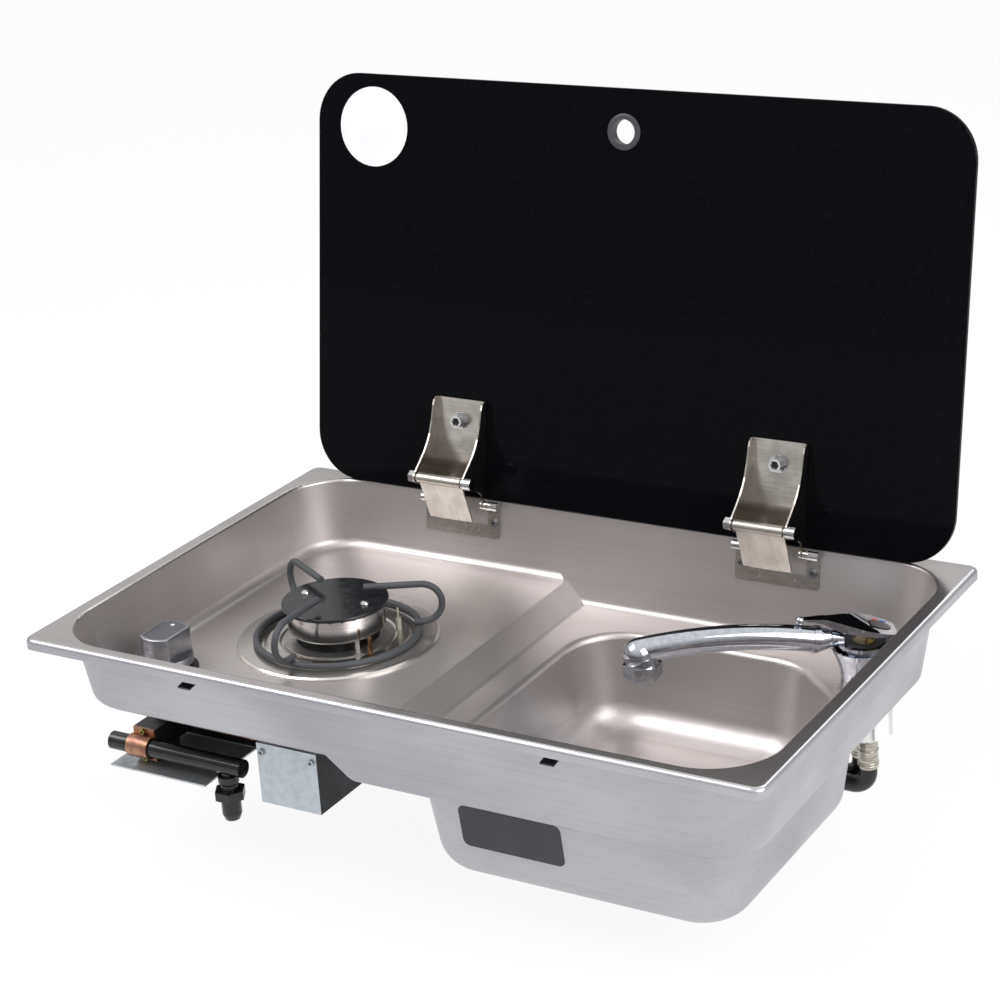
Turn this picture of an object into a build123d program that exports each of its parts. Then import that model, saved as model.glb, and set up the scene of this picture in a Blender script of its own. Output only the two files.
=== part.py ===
from build123d import *
import math
import os

os.makedirs("parts", exist_ok=True)

# RV sink and hob unit with a glass lid. Millimetres, +Z up, +X to the sink side, +Y to the lid hinges.
# Levels below are measured from the top of the flange; every node is lifted by LIP when it is saved,
# so that z = 0 of the part is the worktop plane.
LIP = 9.0

# pan
RIM_X, RIM_Y, RIM_R = 680.0, 440.0, 10.0
SHEET = 1.0
FLANGE_SIDE, FLANGE_FRONT, FLANGE_BACK = 15.3, 13.3, 16.3
OPEN_X, OPEN_F, OPEN_B, OPEN_R = RIM_X / 2 - FLANGE_SIDE, FLANGE_FRONT - RIM_Y / 2, RIM_Y / 2 - FLANGE_BACK, 58.0
DRAFT = 9.5
DECK, TRAY, FLOOR = 65.0, 84.0, 167.0
RISER_X, RISER_RUN = OPEN_X - 373.7, 20.0
BOWL_LEFT, BOWL_RIGHT, BOWL_FRONT, BOWL_BACK = RISER_X + 51.0, OPEN_X - 29.7, OPEN_F + 28.7, OPEN_B - 55.7
BOWL_CUT_X, BOWL_CUT_Y = 95.0, 86.0
BOWL_R, BOWL_DRAFT, BOWL_FILLET = 52.0, 9.0, 28.0

# lid
LID_X, LID_Y, LID_T, LID_R = RIM_X - 36.0, RIM_Y - 55.0, 5.5, 45.0
LID_GAP = 1.0
LEAN = 8.97
LID_FOOT_Y = OPEN_B - 4.6
FINGER_U, FINGER_R = LID_Y - 36.7, 13.0
DISC_X, DISC_U, DISC_R = 61.5 - LID_X / 2, LID_Y - 47.2, 36.5

# hinges
HINGE_X = 161.0
PIN_Y, PIN_Z, PIN_R = OPEN_B - 7.2, -4.5, 2.5
RUN_FIT = 0.05
PIN_U, PIN_N = -4.85, 1.87
ROD_U, ROD_N, ROD_R = 22.8, 38.6, 3.0
CHEEK_IN, CHEEK_OUT = 25.0, 26.5
BOLT_U, BOLT_HOLE_R, BOLT_R = 73.0, 5.0, 4.0
STAY_LEN, STAY_HALF = 46.0, 22.9

# hob
BX, BY = 149.7 - OPEN_X, 3.0
DISH_R, DISH_HOLE_R, CUP_R = 90.0, 41.0, 40.0
HEAD_R, PLATE_R = 43.3, 47.5
HEAD_LOW, PLATE_LOW, PLATE_TOP = -52.0, -29.8, -26.8
WIRE_R, RING_R, RING_Z, ARM_Z = 3.0, DISH_R - 17.5, -58.7, -17.5
ARM_IN, ARM_OUT, LEG_Z = 26.0, RING_R + 3.5, RING_Z + 5.4
PROBE_R, SPARK_DEG, THERMO_DEG = 54.0, 38.0, -25.0
KX, KY = 46.2 - OPEN_X, OPEN_F + 98.7
KNOB_R, KNOB_TOP, KNOB_LOW, STEM_R, SLEEVE_R = 22.5, -29.0, -58.0, 4.0, 6.5
RAIL_Y, RAIL_Z, RAIL_R = KY - 48.0, -118.0, 8.0
RAIL_X0, RAIL_X1, INLET_X = KX - 31.5, KX + 107.5, KX + 90.5
SHELF_X0, SHELF_X1, SHELF_BACK = KX - 27.5, KX + 73.5, KX + 127.0
CASE_X0, CASE_X1 = KX + 128.5, KX + 188.5

# tap
TX, TY = OPEN_X - 50.7, OPEN_B - 81.7
SPOUT_DIR = 214.6
SPOUT_R, SPOUT_LEN, COLLAR_T, COLLAR_W = 11.0, 190.0, 38.0, 5.0
ARCH_T, ARCH_Z, ARCH_R = 125.0, -26.0, 442.0
OUTLET_T, OUTLET_Z, END_R, AER_R = SPOUT_LEN - 4.5, -41.7, 13.8, 11.0
SHANK_R = 16.5
CART_R, STEM_HOLE_R = 18.1, 9.0
LEVER_PIN_T, LEVER_PIN_Z, LEVER_SKIN = -6.0, -28.5, 2.4
HOSE_R, HOSE_BEND, HOSE_Z = 7.6, 14.0, -171.0
HOSE_END_X = OPEN_X - 86.7

# drain
DX, DY = OPEN_X - 174.7, -20.0


def save(name, *shapes):
    solids = []
    for shape in shapes:
        solids += [solid.moved(Location((0, 0, LIP))) for solid in shape.solids()]
    moved = solids[0] if len(solids) == 1 else Compound(solids)
    export_step(moved, os.path.join("parts", name + ".step"))


def cyl(x, y, z0, z1, r):
    low = min(z0, z1)
    part = Cylinder(r, abs(z1 - z0), align=(Align.CENTER, Align.CENTER, Align.MIN))
    return Pos(x, y, low) * part


def tube(x, y, z0, z1, r, bore):
    return cyl(x, y, z0, z1, r) - cyl(x, y, min(z0, z1) - 1, max(z0, z1) + 1, bore)


def xcyl(x0, x1, y, z, r):
    low = min(x0, x1)
    part = Cylinder(r, abs(x1 - x0), align=(Align.CENTER, Align.CENTER, Align.MIN))
    return Pos(low, y, z) * Rot(0, 90, 0) * part


def ycyl(y0, y1, x, z, r):
    high = max(y0, y1)
    part = Cylinder(r, abs(y1 - y0), align=(Align.CENTER, Align.CENTER, Align.MIN))
    return Pos(x, high, z) * Rot(90, 0, 0) * part


def hexagon(z0, z1, across_flats):
    face = RegularPolygon(across_flats / 2, 6, major_radius=False)
    return Pos(0, 0, z0) * extrude(face, amount=z1 - z0)


def box(x0, x1, y0, y1, z0, z1):
    part = Box(x1 - x0, y1 - y0, z1 - z0, align=(Align.MIN, Align.MIN, Align.MIN))
    return Pos(x0, y0, z0) * part


def turned(points):
    face = Plane.XZ * make_face(Polyline(*points, close=True))
    return revolve(face, Axis.Z)


# ---------------------------------------------------------------- pan
def well(grow):
    full = Pos(0, (OPEN_F + OPEN_B) / 2) * RectangleRounded(
        2 * (OPEN_X + grow), OPEN_B - OPEN_F + 2 * grow, OPEN_R + grow)
    deck = extrude(full, amount=DECK + grow, dir=(0, 0, -1), taper=DRAFT)
    deck = fillet(deck.faces().sort_by(Axis.Z)[0].edges(), 10 + grow)
    tray = extrude(full, amount=TRAY + grow, dir=(0, 0, -1), taper=DRAFT)
    slope = RISER_RUN / (TRAY - DECK)
    shift = -1.45 * grow
    side = [(RISER_X + shift - (DECK + 5) * slope, 5), (RIM_X, 5), (RIM_X, -120),
            (RISER_X + shift + (120 - DECK) * slope, -120)]
    prism = extrude(Plane.XZ * make_face(Polyline(*side, close=True)), amount=300, both=True)
    tray = tray & prism
    tray = fillet(tray.faces().sort_by(Axis.Z)[0].edges(), 7 + grow)
    mouth = make_face(Polyline(
        (BOWL_LEFT, BOWL_FRONT), (BOWL_RIGHT, BOWL_FRONT), (BOWL_RIGHT, BOWL_BACK - BOWL_CUT_Y),
        (BOWL_RIGHT - BOWL_CUT_X, BOWL_BACK), (BOWL_LEFT, BOWL_BACK), close=True))
    mouth = fillet(mouth.vertices(), BOWL_R)
    if grow:
        mouth = offset(mouth, amount=grow)
    bowl = Pos(0, 0, -TRAY) * extrude(mouth, amount=FLOOR - TRAY + grow, dir=(0, 0, -1), taper=BOWL_DRAFT)
    bowl = fillet(bowl.faces().sort_by(Axis.Z)[0].edges(), BOWL_FILLET + grow)
    whole = deck + tray + bowl
    lip_faces = [f for f in whole.faces() if abs(f.center().Z + TRAY + grow) < 0.01 and f.inner_wires()]
    edges = [e for f in lip_faces for w in f.inner_wires() for e in w.edges()]
    whole = fillet(edges, 6 - grow)
    return whole


outer = well(SHEET)
inner = well(0.0)
rim = Pos(0, 0, -LIP) * extrude(RectangleRounded(RIM_X, RIM_Y, RIM_R), amount=LIP)
rim = fillet(rim.faces().sort_by(Axis.Z)[-1].edges(), 4)
under = Pos(0, 0, -LIP) * extrude(
    RectangleRounded(RIM_X - 2 * SHEET, RIM_Y - 2 * SHEET, RIM_R - SHEET), amount=LIP - SHEET)
under = fillet(under.faces().sort_by(Axis.Z)[-1].edges(), 3)
pan = (rim - under) + outer
ring = [e for e in pan.edges() if abs(e.center().Z + SHEET) < 0.02 and abs(e.center().X) < OPEN_X + 2.3 and
        abs(e.center().Y) < -OPEN_F + 3.3]
pan = fillet(ring, 2)
pan = pan - inner
top_face = [f for f in pan.faces() if abs(f.center().Z) < 0.01 and f.inner_wires()][0]
pan = fillet(top_face.inner_wires()[0].edges(), 3)
pan = pan - cyl(TX, TY, -90, -80, SHANK_R + 0.5)
pan = pan - cyl(KX, KY, -70, -60, 7.3)
pan = pan - cyl(BX, BY, -70, -60, DISH_HOLE_R + 0.5)
for deg in (SPARK_DEG, THERMO_DEG):
    px = BX + PROBE_R * math.cos(math.radians(deg))
    py = BY + PROBE_R * math.sin(math.radians(deg))
    pan = pan - cyl(px, py, -70, -60, 3.6)
pan = pan - cyl(DX, DY, -175, -160, 26)


def wall(x):
    s = math.sin(math.radians(DRAFT))
    c = math.cos(math.radians(DRAFT))
    return Plane(origin=(x, OPEN_B, 0), x_dir=(1, 0, 0), z_dir=(0, -c, s))


def wcyl(plane, x, v, w0, w1, r):
    low = min(w0, w1)
    part = Cylinder(r, abs(w1 - w0), align=(Align.CENTER, Align.CENTER, Align.MIN))
    return plane * Pos(x, v, low) * part


for hx in (-HINGE_X, HINGE_X):
    for s in (-1, 1):
        pan = pan - wcyl(wall(hx), s * 34.5, -22, -4, 4, 2.1)
save("sink_pan", pan)

seal = extrude(RectangleRounded(RIM_X - 3, RIM_Y - 3, RIM_R - 1.5), amount=LIP - SHEET)
seal = seal - extrude(RectangleRounded(RIM_X - 19, RIM_Y - 19, 30), amount=LIP)
seal = Pos(0, 0, -LIP) * seal
seal = seal - (Pos(0, 0, -LIP) * extrude(RectangleRounded(RIM_X, RIM_Y, 1), amount=LIP) -
               Pos(0, 0, -LIP) * extrude(RectangleRounded(RIM_X - 9, RIM_Y - 9, 7), amount=LIP + 1))
save("rim_seal", seal)

clips = []
for cx in (-178.0, 160.0):
    s = math.sin(math.radians(DRAFT))
    c = math.cos(math.radians(DRAFT))
    front = Plane(origin=(cx, OPEN_F - SHEET, 0), x_dir=(1, 0, 0), z_dir=(0, -c, -s))
    leg = front * box(-6, 6, -19, -11.5, 0.0, 1.5)
    arm = front * box(-6, 6, -19, -17.5, 0.0, 8.0)
    clips.append(leg + arm)
save("worktop_clips", *clips)

s9 = math.sin(math.radians(BOWL_DRAFT))
c9 = math.cos(math.radians(BOWL_DRAFT))
bowl_front = Plane(origin=(BOWL_LEFT + 99, BOWL_FRONT - SHEET, -TRAY), x_dir=(1, 0, 0), z_dir=(0, -c9, -s9))
label = extrude(RectangleRounded(92, 39, 6), amount=0.4)
save("bowl_plate", bowl_front * Pos(0, -28.0, 0.0) * label)

# ---------------------------------------------------------------- lid
LIDP = Plane(origin=(0, LID_FOOT_Y, 0), x_dir=(1, 0, 0),
             z_dir=(0, -math.cos(math.radians(LEAN)), math.sin(math.radians(LEAN))))
SIDE = Plane(origin=(0, 0, 0), x_dir=(0, 1, 0), z_dir=(1, 0, 0))


def lcyl(x, u, n0, n1, r):
    low = min(n0, n1)
    part = Cylinder(r, abs(n1 - n0), align=(Align.CENTER, Align.CENTER, Align.MIN))
    return LIDP * Pos(x, u, low) * part


glass = Pos(0, LID_GAP + LID_Y / 2, -LID_T) * extrude(RectangleRounded(LID_X, LID_Y, LID_R), amount=LID_T)
glass = chamfer(glass.faces().sort_by(Axis.Z)[0].edges() + glass.faces().sort_by(Axis.Z)[-1].edges(), 0.8)
glass = LIDP * glass
glass = glass - lcyl(0, FINGER_U, -10, 5, FINGER_R)
for hx in (-HINGE_X, HINGE_X):
    glass = glass - lcyl(hx, BOLT_U, -10, 5, BOLT_HOLE_R)
save("glass_lid", glass)

grommet = turned([(11, 1.6), (14.5, 1.6), (16, 0.9), (16, 0.0), (12.9, 0.0), (12.9, -LID_T),
                  (16, -LID_T), (16, -LID_T - 0.9), (14.5, -LID_T - 1.6), (11, -LID_T - 1.6)])
save("finger_grommet", LIDP * Pos(0, FINGER_U, 0) * grommet)
save("lid_disc", lcyl(DISC_X, DISC_U, 0, 0.3, DISC_R))

cheek_pts = [(94, 1.0), (93.4, 5), (91, 8.5), (86, 10.3), (71.6, 12.9), (60, 16.2), (52.8, 19.6), (45, 25),
             (38.2, 31.2), (29.0, 40.0), (24.0, 44.0), (17.6, 39.5), (14.3, 31), (9.5, 13), (6.5, 7.5),
             (0.5, 6.0), (-4.85, 6.05), (-9.0, 2.0), (-4.85, -2.3), (-1.0, 0.0), (1.0, 0.3), (6.7, 1.0)]


def bracket(hx):
    web = Pos(hx, 50.1, 1.0) * extrude(RectangleRounded(53, 86.8, 2.5), amount=1.5)
    face = make_face(Polyline(*cheek_pts, close=True))
    face = face + Pos(ROD_U, ROD_N) * Circle(5.5) + Pos(PIN_U, PIN_N) * Circle(4.2)
    face = face - Pos(ROD_U, ROD_N) * Circle(ROD_R + RUN_FIT) - Pos(PIN_U, PIN_N) * Circle(PIN_R + RUN_FIT)
    cheek = extrude(SIDE * face, amount=CHEEK_OUT - CHEEK_IN)
    part = web + Pos(hx + CHEEK_IN, 0, 0) * cheek + Pos(hx - CHEEK_OUT, 0, 0) * cheek
    part = part - Pos(hx, BOLT_U, -5) * Cylinder(4.2, 30)
    return LIDP * part


rod_y = LID_FOOT_Y + ROD_U * math.sin(math.radians(LEAN)) - ROD_N * math.cos(math.radians(LEAN))
rod_z = ROD_U * math.cos(math.radians(LEAN)) + ROD_N * math.sin(math.radians(LEAN))


def stay(hx):
    length = math.hypot(16.5, 47.5)
    down = (0, 16.5 / length, -47.5 / length)
    frame = Plane(origin=(hx, rod_y, rod_z), x_dir=(1, 0, 0), z_dir=down)
    blade = box(-STAY_HALF, STAY_HALF, -0.75, 0.75, 3.5, STAY_LEN)
    part = frame * blade
    roll = xcyl(hx - STAY_HALF, hx + STAY_HALF, rod_y, rod_z, ROD_R + 1.8)
    part = part + roll - xcyl(hx - 30, hx + 30, rod_y, rod_z, ROD_R + RUN_FIT)
    return part


def base(hx):
    plate = Pos(0, -20.75, 0) * extrude(RectangleRounded(80, 33.5, 3), amount=1.5)
    plate = plate - box(-27.5, 27.5, -25.4, 5, -1, 5)
    plate = plate - Pos(17, -31, 0) * Cylinder(1.8, 10) - Pos(-17, -31, 0) * Cylinder(1.8, 10)
    for s in (-1, 1):
        plate = plate - Pos(s * 34.5, -22, 0) * Cylinder(2.1, 10)
    dy = PIN_Y - OPEN_B
    sn = math.sin(math.radians(DRAFT))
    cs = math.cos(math.radians(DRAFT))
    pv = dy * sn + PIN_Z * cs
    pw = -dy * cs + PIN_Z * sn
    pts = [(-14, 1.0), (-4.4, 1.0), (pv + 4.1, 4.6), (pv + 4.0, pw + 1.5), (pv, pw + 4.1), (pv - 3.6, pw + 2.4)]
    ear = make_face(Polyline(*pts, close=True)) + Pos(pv, pw) * Circle(4.2) - Pos(pv, pw) * Circle(PIN_R)
    ear = extrude(SIDE * ear, amount=1.5)
    part = plate + Pos(29.5, 0, 0) * ear + Pos(-31.0, 0, 0) * ear
    return wall(hx) * part


rods = []
nuts = []
bolts = []
bolt_nuts = []
caps = []
pins = []
screws = []
wall_nuts = []
for hx in (-HINGE_X, HINGE_X):
    rods.append(xcyl(hx - 33, hx + 26.7, rod_y, rod_z, ROD_R) + xcyl(hx + 26.7, hx + 34.5, rod_y, rod_z, 5.5))
    nut = Pos(hx - 31.7, rod_y, rod_z) * Rot(0, 90, 0) * hexagon(0, 5, 10)
    nuts.append(nut - xcyl(hx - 40, hx - 20, rod_y, rod_z, ROD_R))
    bolt = lcyl(hx, BOLT_U, -LID_T, 8.5, BOLT_R) + lcyl(hx, BOLT_U, -LID_T - 2.6, -LID_T, 8.0)
    bolts.append(bolt)
    bn = LIDP * Pos(hx, BOLT_U, 0) * hexagon(2.5, 7.0, 13) + lcyl(hx, BOLT_U, 2.5, 3.7, 8.2)
    bolt_nuts.append(bn - lcyl(hx, BOLT_U, 0, 20, 4.0))
    cap = lcyl(hx, BOLT_U, 7.0, 12.0, 5.8) - lcyl(hx, BOLT_U, 6.0, 8.6, BOLT_R + 0.1)
    cap = cap - LIDP * Pos(hx, BOLT_U, 0) * hexagon(9.4, 20, 7)
    caps.append(cap)
    for s in (-1, 1):
        pin = xcyl(hx + s * 23.4, hx + s * 31.0, PIN_Y, PIN_Z, PIN_R)
        pin = pin + xcyl(hx + s * 23.2, hx + s * 24.8, PIN_Y, PIN_Z, 3.6)
        pin = pin + xcyl(hx + s * 26.7, hx + s * 29.5, PIN_Y, PIN_Z, 4.0)
        pin = pin + xcyl(hx + s * 31.0, hx + s * 41.0, PIN_Y, PIN_Z, 4.3)
        pins.append(pin)
        head = wcyl(wall(hx), s * 34.5, -22, 1.5, 2.4, 4.6) + wcyl(wall(hx), s * 34.5, -22, 2.4, 4.2, 3.3)
        screws.append(head + wcyl(wall(hx), s * 34.5, -22, -5.5, 1.5, 2.0))
        wn = wall(hx) * Pos(s * 34.5, -22, 0) * hexagon(-4.3, -1.1, 7)
        wall_nuts.append(wn - wcyl(wall(hx), s * 34.5, -22, -10, 0, 2.0))

pads = []
for side, hx in (("left", -HINGE_X), ("right", HINGE_X)):
    pad = Pos(hx, 49.5, 0) * extrude(RectangleRounded(50, 83, 3), amount=1.0)
    pad = pad + Pos(hx, BOLT_U, -LID_T / 2) * Cylinder(BOLT_HOLE_R - 0.05, LID_T)
    pad = pad - Pos(hx, BOLT_U, 0) * Cylinder(BOLT_R, 20)
    pads.append(LIDP * pad)
    save(side + "_stay_plate", stay(hx))
save("lid_brackets", bracket(-HINGE_X), bracket(HINGE_X))
save("bracket_pads", *pads)
save("hinge_bases", base(-HINGE_X), base(HINGE_X))
save("hinge_rods", *rods)
save("hinge_rod_nuts", *nuts)
save("lid_bolts", *bolts)
save("lid_bolt_nuts", *bolt_nuts)
save("lid_bolt_caps", *caps)
save("pivot_pins", *pins)
save("hinge_screws", *screws)
save("hinge_wall_nuts", *wall_nuts)

# ---------------------------------------------------------------- burner
spark_x = BX + PROBE_R * math.cos(math.radians(SPARK_DEG))
spark_y = BY + PROBE_R * math.sin(math.radians(SPARK_DEG))
thermo_x = BX + PROBE_R * math.cos(math.radians(THERMO_DEG))
thermo_y = BY + PROBE_R * math.sin(math.radians(THERMO_DEG))
dish = Pos(BX, BY, 0) * turned([
    (DISH_R, -DECK), (DISH_R, -63.4), (DISH_R - 1.5, -62), (DISH_R - 16.5, -62), (DISH_R - 19.5, -64),
    (DISH_HOLE_R, -64), (DISH_HOLE_R, -DECK), (DISH_R - 20, -DECK), (DISH_R - 17, -63), (DISH_R - 2, -63),
    (DISH_R - 1, -64), (DISH_R - 1, -DECK)])
dish = dish - cyl(spark_x, spark_y, -70, -60, 3.4) - cyl(thermo_x, thermo_y, -70, -60, 3.4)
save("burner_dish", dish)
trim = Pos(BX, BY, 0) * turned([
    (DISH_HOLE_R + 9.5, -64), (DISH_HOLE_R + 9.5, -63.2), (DISH_HOLE_R + 11.5, -62.6), (DISH_HOLE_R + 22, -62.6),
    (DISH_HOLE_R + 25, -63.3), (DISH_HOLE_R + 25, -64)])
trim = trim - cyl(spark_x, spark_y, -70, -60, 3.4) - cyl(thermo_x, thermo_y, -70, -60, 3.4)
save("burner_ring", trim)
body = Pos(BX, BY, 0) * turned([(49, -64), (49, -62), (37, -62), (37, -84), (8, -84), (8, -106), (12, -106),
                                (12, -87), (CUP_R, -87), (CUP_R, -64)])
neck = Pos(BX, BY, 0) * turned([(14, -84), (14, HEAD_LOW), (18, HEAD_LOW), (18, -84)])
for k in range(3):
    neck = neck + Pos(BX, BY, 0) * Rot(0, 0, 90 + 120 * k) * box(17, 38, -2, 2, -84, HEAD_LOW)
save("burner_body", body + neck)
head = Pos(BX, BY, 0) * turned([(14, HEAD_LOW), (HEAD_R - 1, HEAD_LOW), (HEAD_R, HEAD_LOW + 1.5),
                                (HEAD_R, PLATE_LOW), (HEAD_R - 7, PLATE_LOW), (HEAD_R - 9, HEAD_LOW + 4),
                                (14, HEAD_LOW + 4)])
for sx in (-1, 1):
    head = head + cyl(BX + sx * 31.5, BY, HEAD_LOW + 2, PLATE_LOW, 4.0)
for k in range(26):
    slot = box(34.5, 50, -0.9, 0.9, PLATE_LOW - 2.6, PLATE_LOW + 1)
    head = head - Pos(BX, BY, 0) * Rot(0, 0, (k + 0.5) * 360.0 / 26) * slot
for sx in (-1, 1):
    head = head - cyl(BX + sx * 31.5, BY, HEAD_LOW + 6, PLATE_LOW + 2, 2.0)
save("burner_head", head)

plate = cyl(BX, BY, PLATE_LOW, PLATE_TOP, PLATE_R)
plate = fillet(plate.edges().group_by(Axis.Z)[-1], 1.0)
for sx in (-1, 1):
    plate = plate - cyl(BX + sx * 31.5, BY, PLATE_LOW - 1, PLATE_TOP + 1, 2.2)
save("burner_cap", plate)
trivet = Pos(BX, BY, RING_Z) * Torus(RING_R, WIRE_R)
bend = (ARM_Z - LEG_Z) / 2
for deg in (30, 150, 270):
    arm = xcyl(ARM_IN, ARM_OUT, 0, ARM_Z, WIRE_R) + xcyl(RING_R - 4.5, ARM_OUT, 0, LEG_Z, WIRE_R)
    loop = Pos(ARM_OUT, 0, (ARM_Z + LEG_Z) / 2) * Rot(90, 0, 0) * Torus(bend, WIRE_R)
    arm = arm + (loop & box(ARM_OUT, ARM_OUT + 50, -20, 20, LEG_Z - 10, ARM_Z + 10))
    trivet = trivet + Pos(BX, BY, 0) * Rot(0, 0, deg) * arm
save("pan_support", trivet)
cap_screws = []
for sx in (-1, 1):
    dome = Pos(BX + sx * 31.5, BY, PLATE_TOP) * turned([(0, 0), (3.9, 0), (3.9, 0.8), (3.2, 2.0), (1.8, 2.8), (0, 3.0)])
    cap_screws.append(dome + cyl(BX + sx * 31.5, BY, HEAD_LOW + 8, PLATE_TOP, 2.0))
save("cap_screws", *cap_screws)

spark = cyl(spark_x, spark_y, -92, -52, 2.8) + cyl(spark_x, spark_y, -52, -42, 0.9)
spark = spark + cyl(spark_x, spark_y, -71, -66, 4.5)
save("spark_electrode", spark)
thermo = cyl(thermo_x, thermo_y, -92, -54, 2.2) + cyl(thermo_x, thermo_y, -54, -46, 1.6)
thermo = thermo + cyl(thermo_x, thermo_y, -71, -66, 4.5)
save("thermocouple", thermo)
jet = box(BX - 10, BX + 10, BY - 8, BY + 8, -122, -108)
jet = jet + box(BX - 15, BX - 13, BY - 7, BY + 7, -122, -87) + box(BX + 13, BX + 15, BY - 7, BY + 7, -122, -87)
jet = jet + box(BX - 15, BX + 15, BY - 7, BY + 7, -122, -119)
jet = jet + cyl(BX, BY, -108, -103, 4) - cyl(BX, BY, -116, -100, 1.0) - ycyl(BY - 20, BY, BX, -115, 3.0)
save("jet_holder", jet)

# ---------------------------------------------------------------- knob and gas train
knob = cyl(KX, KY, KNOB_LOW, -51, KNOB_R)
grip = cyl(KX, KY, -51, KNOB_TOP, KNOB_R - 0.8) & box(KX - 15, KX + 15, KY - 30, KY + 30, -60, 0)
grip = fillet(grip.edges().group_by(Axis.Z)[-1], 1.2)
knob = knob + grip
pocket = cyl(KX, KY, KNOB_TOP - 1.2, 0, KNOB_R - 3.3) & box(KX - 12.5, KX + 12.5, KY - 30, KY + 30, -60, 0)
knob = knob - pocket
knob = knob - cyl(KX, KY, KNOB_LOW - 1, -38, STEM_R)
save("knob", knob)
inset = pocket & box(KX - 30, KX + 30, KY - 30, KY + 30, KNOB_TOP - 1.2, KNOB_TOP - 0.5)
save("knob_inset", inset)
stem = cyl(KX, KY, -98, -38, STEM_R)
save("valve_stem", stem)
seal_ring = Pos(KX, KY, 0) * turned([(8, -65), (26, -65), (26, -63.2), (24.5, -62), (8, -62)])
save("knob_seal", seal_ring)
save("push_sleeve", tube(KX, KY, -68, -60, SLEEVE_R, STEM_R + RUN_FIT))
valve = box(KX - 12, KX + 12, KY - 12, KY + 12, -124, -90) + cyl(KX, KY, -90, -66, 10)
valve = valve + box(KX - 11.5, KX + 11.5, RAIL_Y + 6, KY - 11, -133, -103)
valve = valve - cyl(KX, KY, -103, -60, STEM_R + 0.15) - cyl(KX, KY, -74, -60, SLEEVE_R + RUN_FIT)
valve = valve - xcyl(KX - 30, KX + 30, RAIL_Y, RAIL_Z, RAIL_R)
for sz in (-105.3, -130.7):
    valve = valve - ycyl(RAIL_Y + 5, RAIL_Y + 14, KX, sz, 1.8)
valve = valve + xcyl(KX + 11, KX + 18, KY, -115, 6) - xcyl(KX + 5, KX + 20, KY, -115, 3.0)
save("gas_valve", valve)
rail = xcyl(RAIL_X0, RAIL_X1, RAIL_Y, RAIL_Z, RAIL_R) - xcyl(RAIL_X0 + 4, RAIL_X1 - 9, RAIL_Y, RAIL_Z, 6.0)
rail = rail - cyl(INLET_X, RAIL_Y, RAIL_Z - 20, RAIL_Z, 6.0)
save("gas_rail", rail)
inlet = Pos(INLET_X, RAIL_Y, 0) * (hexagon(-148, -140, 24) + turned([
    (0, RAIL_Z - 2), (5.9, RAIL_Z - 2), (5.9, -127), (9, -127), (9, -133), (7.5, -135), (7.5, -140), (8.5, -148),
    (8.5, -163), (6.5, -168), (0, -168)]))
inlet = inlet - cyl(INLET_X, RAIL_Y, -170, -100, 4.0)
save("gas_inlet", inlet)
strap = xcyl(KX - 11, KX + 11, RAIL_Y, RAIL_Z, RAIL_R + 2) & box(
    KX - 20, KX + 20, RAIL_Y - 14, RAIL_Y + 6, -140, -90)
strap = strap + box(KX - 11, KX + 11, RAIL_Y + 4, RAIL_Y + 6, -133, -103)
strap = strap - xcyl(KX - 30, KX + 30, RAIL_Y, RAIL_Z, RAIL_R)
strap_screws = []
for sz in (-105.3, -130.7):
    strap = strap - ycyl(RAIL_Y - 4, RAIL_Y + 7, KX, sz, 1.9)
    strap_screws.append(ycyl(RAIL_Y + 1, RAIL_Y + 4, KX, sz, 2.6) + ycyl(RAIL_Y + 4, RAIL_Y + 13.5, KX, sz, 1.8))
save("rail_strap", strap)
save("strap_screws", *strap_screws)
shelf_y = RAIL_Y + 65.5
shelf = box(SHELF_X0, SHELF_X1, RAIL_Y - 12, shelf_y, -136.5, -135)
shelf = shelf + box(SHELF_X0, SHELF_BACK, shelf_y - 1.5, shelf_y, -136.5, -66)
shelf = shelf + box(SHELF_X0, SHELF_BACK, shelf_y - 1.5, shelf_y + 10.5, -67.5, -66)
shelf = shelf - box(BX - 15, BX, shelf_y - 3, shelf_y + 1, -121, -109)
save("gas_shelf", shelf)
case_y = RAIL_Y - 6
case = box(CASE_X0, CASE_X1, case_y, case_y + 73, -141.5, -86)
case = case - box(CASE_X0 + 1.2, CASE_X1 - 1.2, case_y + 1.2, case_y + 71.8, -140.3, -87.2)
for tx in (CASE_X0, CASE_X1 - 10):
    tab = box(tx, tx + 10, case_y + 22, case_y + 52, -86.5, -66)
    case = case + tab - box(tx + 1.2, tx + 8.8, case_y + 21, case_y + 53, -85, -67.2)
case_screws = []
for sx in (CASE_X0 + 5, CASE_X1 - 5):
    case = case - ycyl(case_y - 8, case_y + 12, sx, -94, 1.6)
    case_screws.append(ycyl(case_y - 2.2, case_y, sx, -94, 3.0) + ycyl(case_y, case_y + 8, sx, -94, 1.6))
save("spark_box", case)
save("spark_box_screws", *case_screws)
pipe_line = FilletPolyline((KX + 18, KY, -115), (BX - 17, KY, -115), (BX, KY + 30, -115), (BX, BY - 8, -115), radius=12)
pipe = sweep(Plane(origin=(KX + 18, KY, -115), z_dir=(1, 0, 0)) * Circle(3.0), path=pipe_line)
save("feed_pipe", pipe)

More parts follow.
